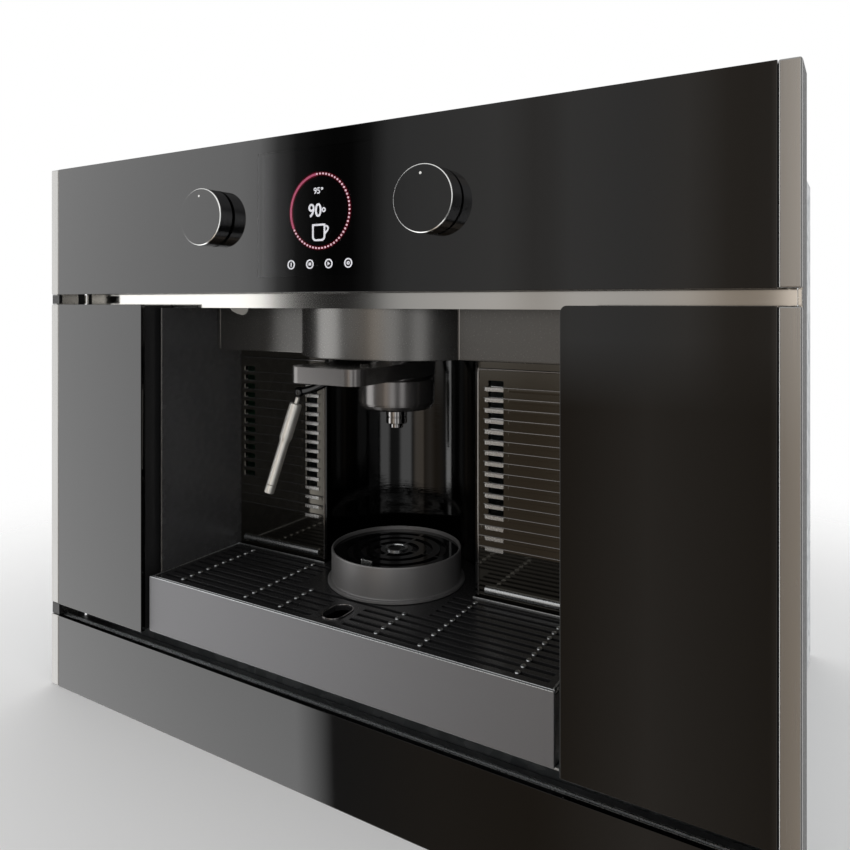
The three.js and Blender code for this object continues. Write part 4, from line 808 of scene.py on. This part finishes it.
# ---- brewing group ----
def build_filter():
    """Filter holder: a cup with two lugs, a flat grip round it and a stepped spout."""
    cup = [
        (0, 253.8), (26.6, 253.8), (28.7, 255.3), (29.9, 257.5), (29.9, 258.1), (29.2, 258.3),
        (29.2, 258.8), (30.6, 259.1), (30.6, 276.9), (29.8, 277.7), (25.5, 277.9), (25.5, 303.5),
        (23.5, 303.5), (23.5, 263), (0, 263),
    ]
    bm = turned(cup, AXIS, 128)
    for lug in ((24, 29.5), (-29.5, -24)):
        bm = block(lug, (98, 112), (300.6, 303.4), bm=bm)
    make_piece("filter_cup", bm, GRIP_FINISH, "filter_holder", ["filter_body"], sharp=25)
    half, corner, depth = 31.2, 11, 19.5
    grip = arc(*AXIS, half, 0, 180, 48) + arc(corner - half, depth, corner, 180, 270, 16)
    grip += arc(half - corner, depth, corner, 270, 360, 16)
    grip = plate(grip, "plan", 281.1, 292.6, [circle(*AXIS, 25.8, 72)])
    bevel_sharp(grip, 1.3, 3, keep=lambda edge: all(from_axis(v) > 27 for v in edge.verts))
    make_piece("filter_grip", grip, GRIP_FINISH, "filter_holder", ["filter_handle"],
               sharp=25)
    spout = [
        (3, 237.9), (4.9, 237.9), (5.3, 238.3), (5.3, 241.2), (7.9, 241.4), (8.4, 241.9), (8.4, 246.2),
        (7.9, 246.5), (7.9, 247.1), (8.4, 247.4), (8.4, 253.5), (3, 253.5),
    ]
    make_piece("filter_outlet", turned(spout, AXIS, 64, ring=True), CHROME_FINISH, "filter_holder",
               ["filter_spout"], sharp=25)


def along_wand(profile):
    """A profile of (radius, distance from the ball) spun and laid along the wand."""
    bm = turned(profile, (0, 0), 40)
    turn = Vector((0, 0, 1)).rotation_difference((TIP - BALL).normalized()).to_matrix()
    bmesh.ops.rotate(bm, verts=bm.verts, cent=(0, 0, 0), matrix=turn)
    bmesh.ops.translate(bm, verts=bm.verts, vec=BALL)
    return bm


def tube_along(points, radius):
    """A round tube on a smooth curve through these points."""
    curve = bpy.data.curves.new("tube", "CURVE")
    curve.dimensions = "3D"
    curve.bevel_depth = radius
    curve.bevel_resolution = 6
    curve.resolution_u = 16
    curve.use_fill_caps = True
    spline = curve.splines.new("BEZIER")
    spline.bezier_points.add(len(points) - 1)
    for point, place in zip(spline.bezier_points, points):
        point.co = place
        point.handle_left_type = point.handle_right_type = "AUTO"
    bm = from_curve(curve)
    bmesh.ops.remove_doubles(bm, verts=bm.verts, dist=1e-4)
    bmesh.ops.recalc_face_normals(bm, faces=bm.faces)
    return bm


def build_wand():
    """A dark arm out of the ceiling, a ball, and a pale tube with a sleeve and a nozzle."""
    route = [(*WAND_EXIT, 300), (*WAND_EXIT, 284), (-58.5, 90.6, 274), (-66, 86.1, 268), tuple(BALL)]
    collar = [(0, 288), (4.6, 288), (5, 288.4), (5, 301.6), (4.6, 302), (0, 302)]
    arm = turned(collar, WAND_EXIT, 32, bm=tube_along(route, 3.4))
    ball = bmesh.new()
    bmesh.ops.create_uvsphere(ball, u_segments=32, v_segments=20, radius=4.4)
    bmesh.ops.translate(ball, verts=ball.verts, vec=BALL)
    make_piece("wand_elbow", joined(arm, ball), BLACK_FINISH, "wand_arm", ["wand_swivel"],
               sharp=40)
    length = (TIP - BALL).length
    tube = [
        (0, 4.7), (1.7, 4.7), (1.9, 5), (1.9, 9.8), (4.4, 10), (4.9, 10.5), (5.2, 12), (5.2, 38.4),
        (5, 39.2), (4.2, 42.3), (4.1, 43), (4.1, length - 7.5), (3.9, length - 7.3), (0, length - 7.3),
    ]
    make_piece("wand_pipe", along_wand(tube), WAND_FINISH, "wand", ["wand_tube"],
               sharp=30)
    nozzle = [
        (0, length - 7), (3.9, length - 7), (4.1, length - 6.8), (4.1, length - 1.2), (3.9, length - 0.4),
        (3.4, length), (0.8, length), (0.8, length - 3.9), (0, length - 3.9),
    ]
    make_piece("wand_end", along_wand(nozzle), WAND_FINISH, "wand", ["wand_nozzle"],
               sharp=30)


# ---- tray ----
def build_tray_face():
    """Front of the tray, with two rounded lines along its top edge whose pale aluminium is a painted
    highlight.
    """
    face = block(TRAY_FACE, (4, 5.2), (73.7, 117.3), 0.35)
    face = block(TRAY_FACE, (5, 6.3), (73.9, 116.2), 0, bm=face)
    face = block(TRAY_FACE, (6, 7), (73.7, 117.3), 0.3, 2, face)
    for depth in ((4.1, 4.8), (6.3, 6.9)):
        line = block((-171.6, 171.6), depth, (116.9, 117.6), 0.2, 1)
        # painted highlight: the rounded edge lines take the pale aluminium finish to stand for light caught
        # on the top edges
        face = joined(face, painted(line, 1))
    make_piece("tray_face", face, TRAY_FINISH, "tray", ["tray_front"], more=(RAIL_FINISH,))


def slot_row(row):
    """Where a row of slots lies, and its stretches on the right half of the plate."""
    middle = FIRST_SLOT + row * SLOT_PITCH
    beside_hole = abs(middle - FINGER_HOLE[1]) < HOLE_ROOM[1]
    first = STAND_ROOM if row >= STAND_ROW else HOLE_ROOM[0] if beside_hole else 0
    bridges = [x for x in BRIDGES if x > first]
    starts = [first] + [x + BRIDGE_HALF for x in bridges]
    ends = [x - BRIDGE_HALF for x in bridges] + [SLOT_END]
    return middle, list(zip(starts, ends))


def build_grille():
    """Slotted plate that fits round the recess, with a rimmed finger hole."""
    turn = math.degrees(math.asin((BACK_FACE - TRAY_BACK) / TRAY_ROUND))
    outline = [(-TRAY_HALF, TRAY_FRONT), (TRAY_HALF, TRAY_FRONT), (TRAY_HALF, TRAY_BACK)]
    outline += arc(*AXIS, TRAY_ROUND, -turn, 180 + turn, 64) + [(-TRAY_HALF, TRAY_BACK)]
    holes = []
    for row in range(SLOT_ROWS):
        middle, stretches = slot_row(row)
        for start, end in stretches:
            pair = [span(side, start, end) for side in (-1, 1)] if start else [(-end, end)]
            holes += [box_outline(*slot, middle - SLOT_HALF, middle + SLOT_HALF) for slot in pair]
    hole = stadium(*FINGER_HOLE)
    bm = plate(outline, "plan", *GRILLE, [*holes, hole])
    bevel_sharp(bm, 0.4, 2, keep=above(GRILLE[1] - 0.1))
    rim = plate(stadium(*FINGER_HOLE[:2], 17.8, 27.2), "plan", GRILLE[1] - 0.2, GRILLE[1] + 0.8, [hole])
    bevel_sharp(rim, 0.35, 2, least=60)
    make_piece("drip_plate", joined(bm, painted(rim, 1)), GRILLE_FINISH, "grille", ["drip_grille"],
               sharp=35, more=(CHROME_FINISH,))


def build_grille_trim():
    """Bright beads on the plate's rear and side edges, and a round pale stud on each bridge as a painted
    highlight where the bridge catches the light.
    """
    trim = None
    for side in (-1, 1):
        rear = span(side, 70.6, 170.6)
        edge = span(side, 169.7, 170.7)
        trim = block(rear, (TRAY_BACK - 1.1, TRAY_BACK - 0.1), (116.6, 117.9), 0.4, 2, trim)
        trim = block(edge, (TRAY_FRONT + 0.3, TRAY_BACK - 0.3), (116.6, 117.6), 0.4, 2, trim)
    for row in range(SLOT_ROWS):
        middle, stretches = slot_row(row)
        for start, end in stretches[:-1]:
            for side in (-1, 1):
                # painted highlight: each pale stud marks the light that a bridge catches
                place = (side * (end + BRIDGE_HALF), middle, GRILLE[1] + 0.1)
                stud = bmesh.new()
                bmesh.ops.create_uvsphere(stud, u_segments=12, v_segments=6, radius=1)
                bmesh.ops.scale(stud, verts=stud.verts, vec=(1.7, 2.3, 0.9))
                bmesh.ops.translate(stud, verts=stud.verts, vec=place)
                trim = joined(trim, stud)
    make_piece("grille_trim", trim, RAIL_FINISH, "grille")


def build_stand():
    drum = [
        (50.4, 117.3), (54.5, 117.3), (54.8, 117.6), (54.8, 119.2), (54.4, 119.5), (52.3, 119.6),
        (51.9, 120), (51.9, 142.4), (51.6, 143), (51.1, 143.2), (50.6, 143.1), (50.2, 142.6),
        (50.2, 137.5), (44.2, 137.5), (44.2, 136), (50.2, 136), (50.2, 118),
    ]
    make_piece("stand_drum", turned(drum, AXIS, 160, ring=True), DRUM_FINISH, "stand", ["cup_stand"],
               sharp=25)


def build_grate():
    """Round plate with three rings of slots, a boss with a bright ring, and a tab to lift it by."""
    holes = []
    for inner in (13, 24, 35):
        spoke = math.degrees(2.4 / (inner + 2.5)) / 2
        for quarter in range(4):
            start, end = quarter * 90 + spoke, quarter * 90 + 90 - spoke
            holes.append(arc(*AXIS, inner + 5, start, end, 24) + arc(*AXIS, inner, end, start, 24))
    grate = plate(circle(*AXIS, 49.9, 144), "plan", 137.8, 140.4, holes)
    bevel_sharp(grate, 0.5, 2, least=50, keep=above(140.3))
    boss = [(0, 137.8), (7.75, 137.8), (7.75, 140.7), (7.3, 141), (6.6, 141), (6.3, 140.6), (0, 140.5)]
    grate = turned(boss, AXIS, 64, bm=grate)
    make_piece("stand_grate", grate, BLACK_FINISH, "grate", ["cup_grate"], sharp=30)
    ring = [(6.8, 140.7), (7.3, 141.6), (8.1, 141.8), (8.9, 141.5), (8.9, 140.3)]
    make_piece("grate_ring", turned(ring, AXIS, 64, ring=True), RAIL_FINISH, "grate",
               sharp=40)
    tab = block((-1.9, -0.9), (58.6, 61.4), (139.8, 145.6), 0.3)
    tab = block((-1.5, 7.5), (59.6, 60.4), (139.8, 145.0), 0.2, 2, tab)
    make_piece("grate_tab", tab, RAIL_FINISH, "grate", sharp=40)


build_panes()
build_edge_strips()
build_trims()
build_rail()
build_knobs()
build_display()
build_housing()
build_niche_walls()
build_recess()
build_louvres()
build_filter()
build_wand()
build_tray_face()
build_grille()
build_grille_trim()
build_stand()
build_grate()


# ---- stage ----
def build_stage():
    """A pale floor that fades out into the backdrop and doesn't show in reflections."""
    bm = bmesh.new()
    bmesh.ops.create_grid(bm, x_segments=1, y_segments=1, size=6)
    mesh = bpy.data.meshes.new("studio_floor")
    bm.to_mesh(mesh)
    bm.free()
    floor = bpy.data.objects.new("studio_floor", mesh)
    scene.collection.objects.link(floor)
    material = bpy.data.materials.new("pale_floor_paint")
    material.use_nodes = True
    tree = material.node_tree
    tree.nodes.clear()
    place = add_node(tree, "ShaderNodeTexCoord")
    reach = add_node(tree, "ShaderNodeVectorMath", {"operation": "LENGTH"}, {0: place.outputs["Object"]})
    soft = {"From Min": 0.42, "From Max": 0.95, "interpolation_type": "SMOOTHSTEP"}
    fade = add_node(tree, "ShaderNodeMapRange", soft, {"Value": reach.outputs["Value"]})
    paint = add_node(tree, "ShaderNodeBsdfDiffuse", {"Color": srgb("#ececec")})
    clear = add_node(tree, "ShaderNodeBsdfTransparent")
    path = add_node(tree, "ShaderNodeLightPath")
    passed = add_node(tree, "ShaderNodeMath", {"operation": "MAXIMUM"},
                      {0: fade.outputs[0], 1: path.outputs["Is Glossy Ray"]})
    mixed = add_node(tree, "ShaderNodeMixShader", {},
                     {0: passed.outputs[0], 1: paint.outputs[0], 2: clear.outputs[0]})
    add_node(tree, "ShaderNodeOutputMaterial", {}, {"Surface": mixed.outputs[0]})
    mesh.materials.append(material)


WALL_LEVEL = 2.3  # the brightest part of the studio, the wall on the left

# Light round the studio as (azimuth in degrees, level, warmth), where azimuth 0 is straight out from
# the front. The first band stands from the horizon up, the second lies below it.
LEVEL_BAND = [
    (-180, 1.0, 0), (-90, 1.0, 0), (-68, 2.3, 0), (-44.5, 2.25, 0), (-43.4, 1.95, 0), (-42.7, 1.15, 0),
    (-42.1, 0.5, 0), (-41.3, 0.18, 0), (-40, 0.06, 0), (-37.5, 0.015, 0), (-36, 0.04, 0), (-35.1, 0.12, 0),
    (-34.2, 0.38, 0), (-33.2, 0.55, 0), (-25, 0.72, 0.05), (-22, 0.52, 0.1), (-19.5, 0.7, 0.05),
    (-15, 0.62, 0.05), (-11, 0.64, 0.15), (-8, 0.38, 0.3), (-5.2, 0.4, 0.25), (-4, 1.4, 0.2),
    (8, 1.5, 0.15), (14, 1.4, 0), (26, 1.4, 0), (30, 0.5, 0), (41, 0.5, 0), (45, 1.4, 0), (54, 1.4, 0),
    (59, 0.35, 0), (95, 0.3, 0), (130, 1.0, 0),
]
LOW_BAND = [
    (-180, 0.9, 0), (-90, 0.9, 0), (-68, 2.3, 0), (-39.6, 2.3, 0), (-39.1, 0.12, 0), (-30, 0.2, 0.3),
    (-22, 0.2, 0.4), (-14, 0.42, 0.25), (-5.2, 0.26, 0.35), (-4, 0.9, 0.3), (6, 0.9, 0.25), (11, 0.15, 0.1),
    (14, 1.3, 0), (26, 1.3, 0), (30, 0.15, 0), (41, 0.12, 0), (45, 1.2, 0), (54, 1.2, 0), (58, 0.15, 0),
    (95, 0.3, 0), (130, 0.9, 0),
]


def tint(level, warmth=0.0):
    """A level of light as a ramp colour, less blue and green where it is warm."""
    share = level / WALL_LEVEL
    return (share, share * (1 - 0.5 * warmth), share * (1 - warmth), 1.0)


def build_light():
    """A studio seen by its light: a bright wall on the left, a dark gap, soft light ahead and two
    windows on the right. Below the horizon it is darker and a little warm. The camera sees a white
    backdrop in its place, also through the clear window."""
    world = bpy.data.worlds.new("studio")
    scene.world = world
    world.use_nodes = True
    tree = world.node_tree
    tree.nodes.clear()
    place = add_node(tree, "ShaderNodeTexCoord")
    ray = add_node(tree, "ShaderNodeSeparateXYZ", {}, {0: place.outputs["Generated"]})
    ahead = add_node(tree, "ShaderNodeMath", {"operation": "MULTIPLY", 1: -1.0}, {0: ray.outputs["Y"]})
    azimuth = add_node(tree, "ShaderNodeMath", {"operation": "ARCTAN2"},
                       {0: ray.outputs["X"], 1: ahead.outputs[0]})
    full_turn = {"From Min": -math.pi, "From Max": math.pi}
    share = add_node(tree, "ShaderNodeMapRange", full_turn, {"Value": azimuth.outputs[0]})
    level, low = (
        add_node(tree, "ShaderNodeValToRGB",
                 {"stops": [((angle + 180) / 360, tint(*light)) for angle, *light in band]},
                 {"Fac": share.outputs[0]})
        for band in (LEVEL_BAND, LOW_BAND)
    )
    upward = add_node(tree, "ShaderNodeMapRange", {"From Min": -0.14, "From Max": -0.05},
                      {"Value": ray.outputs["Z"]})
    around = add_node(tree, "ShaderNodeMix", {"data_type": "RGBA"},
                      {0: upward.outputs[0], 6: low.outputs[0], 7: level.outputs[0]})
    soft = {"From Min": 0.3, "From Max": 0.65, "interpolation_type": "SMOOTHSTEP"}
    high = add_node(tree, "ShaderNodeMapRange", soft, {"Value": ray.outputs["Z"]})
    sky = add_node(tree, "ShaderNodeMix", {"data_type": "RGBA", 7: tint(1.0)},
                   {0: high.outputs[0], 6: around.outputs[2]})
    studio = add_node(tree, "ShaderNodeBackground", {"Strength": WALL_LEVEL}, {"Color": sky.outputs[2]})
    backdrop = add_node(tree, "ShaderNodeBackground", {"Color": (1.0, 1.0, 1.0, 1.0), "Strength": 1.0})
    path = add_node(tree, "ShaderNodeLightPath")
    straight = add_node(tree, "ShaderNodeMath", {"operation": "LESS_THAN", 1: 0.5},
                        {0: path.outputs["Glossy Depth"]})
    through = add_node(tree, "ShaderNodeMath", {"operation": "MULTIPLY"},
                       {0: path.outputs["Is Transmission Ray"], 1: straight.outputs[0]})
    seen = add_node(tree, "ShaderNodeMath", {"operation": "MAXIMUM"},
                    {0: path.outputs["Is Camera Ray"], 1: through.outputs[0]})
    mixed = add_node(tree, "ShaderNodeMixShader", {},
                     {0: seen.outputs[0], 1: studio.outputs[0], 2: backdrop.outputs[0]})
    add_node(tree, "ShaderNodeOutputWorld", {}, {"Surface": mixed.outputs[0]})


def build_camera():
    """Where the photograph was taken from: low on the right, level, with the frame moved down."""
    data = bpy.data.cameras.new("camera")
    data.sensor_width = 36
    data.lens = 31.143
    data.shift_y = -0.14444
    data.clip_start = 0.01
    camera = bpy.data.objects.new("camera", data)
    camera.location = (0.32283, -0.58641, 0.3382)
    camera.rotation_euler = (math.radians(90), 0, math.radians(30.88))
    scene.collection.objects.link(camera)
    scene.camera = camera


build_stage()
build_light()
build_camera()
scene.view_settings.view_transform = "Standard"

bpy.context.view_layer.update()
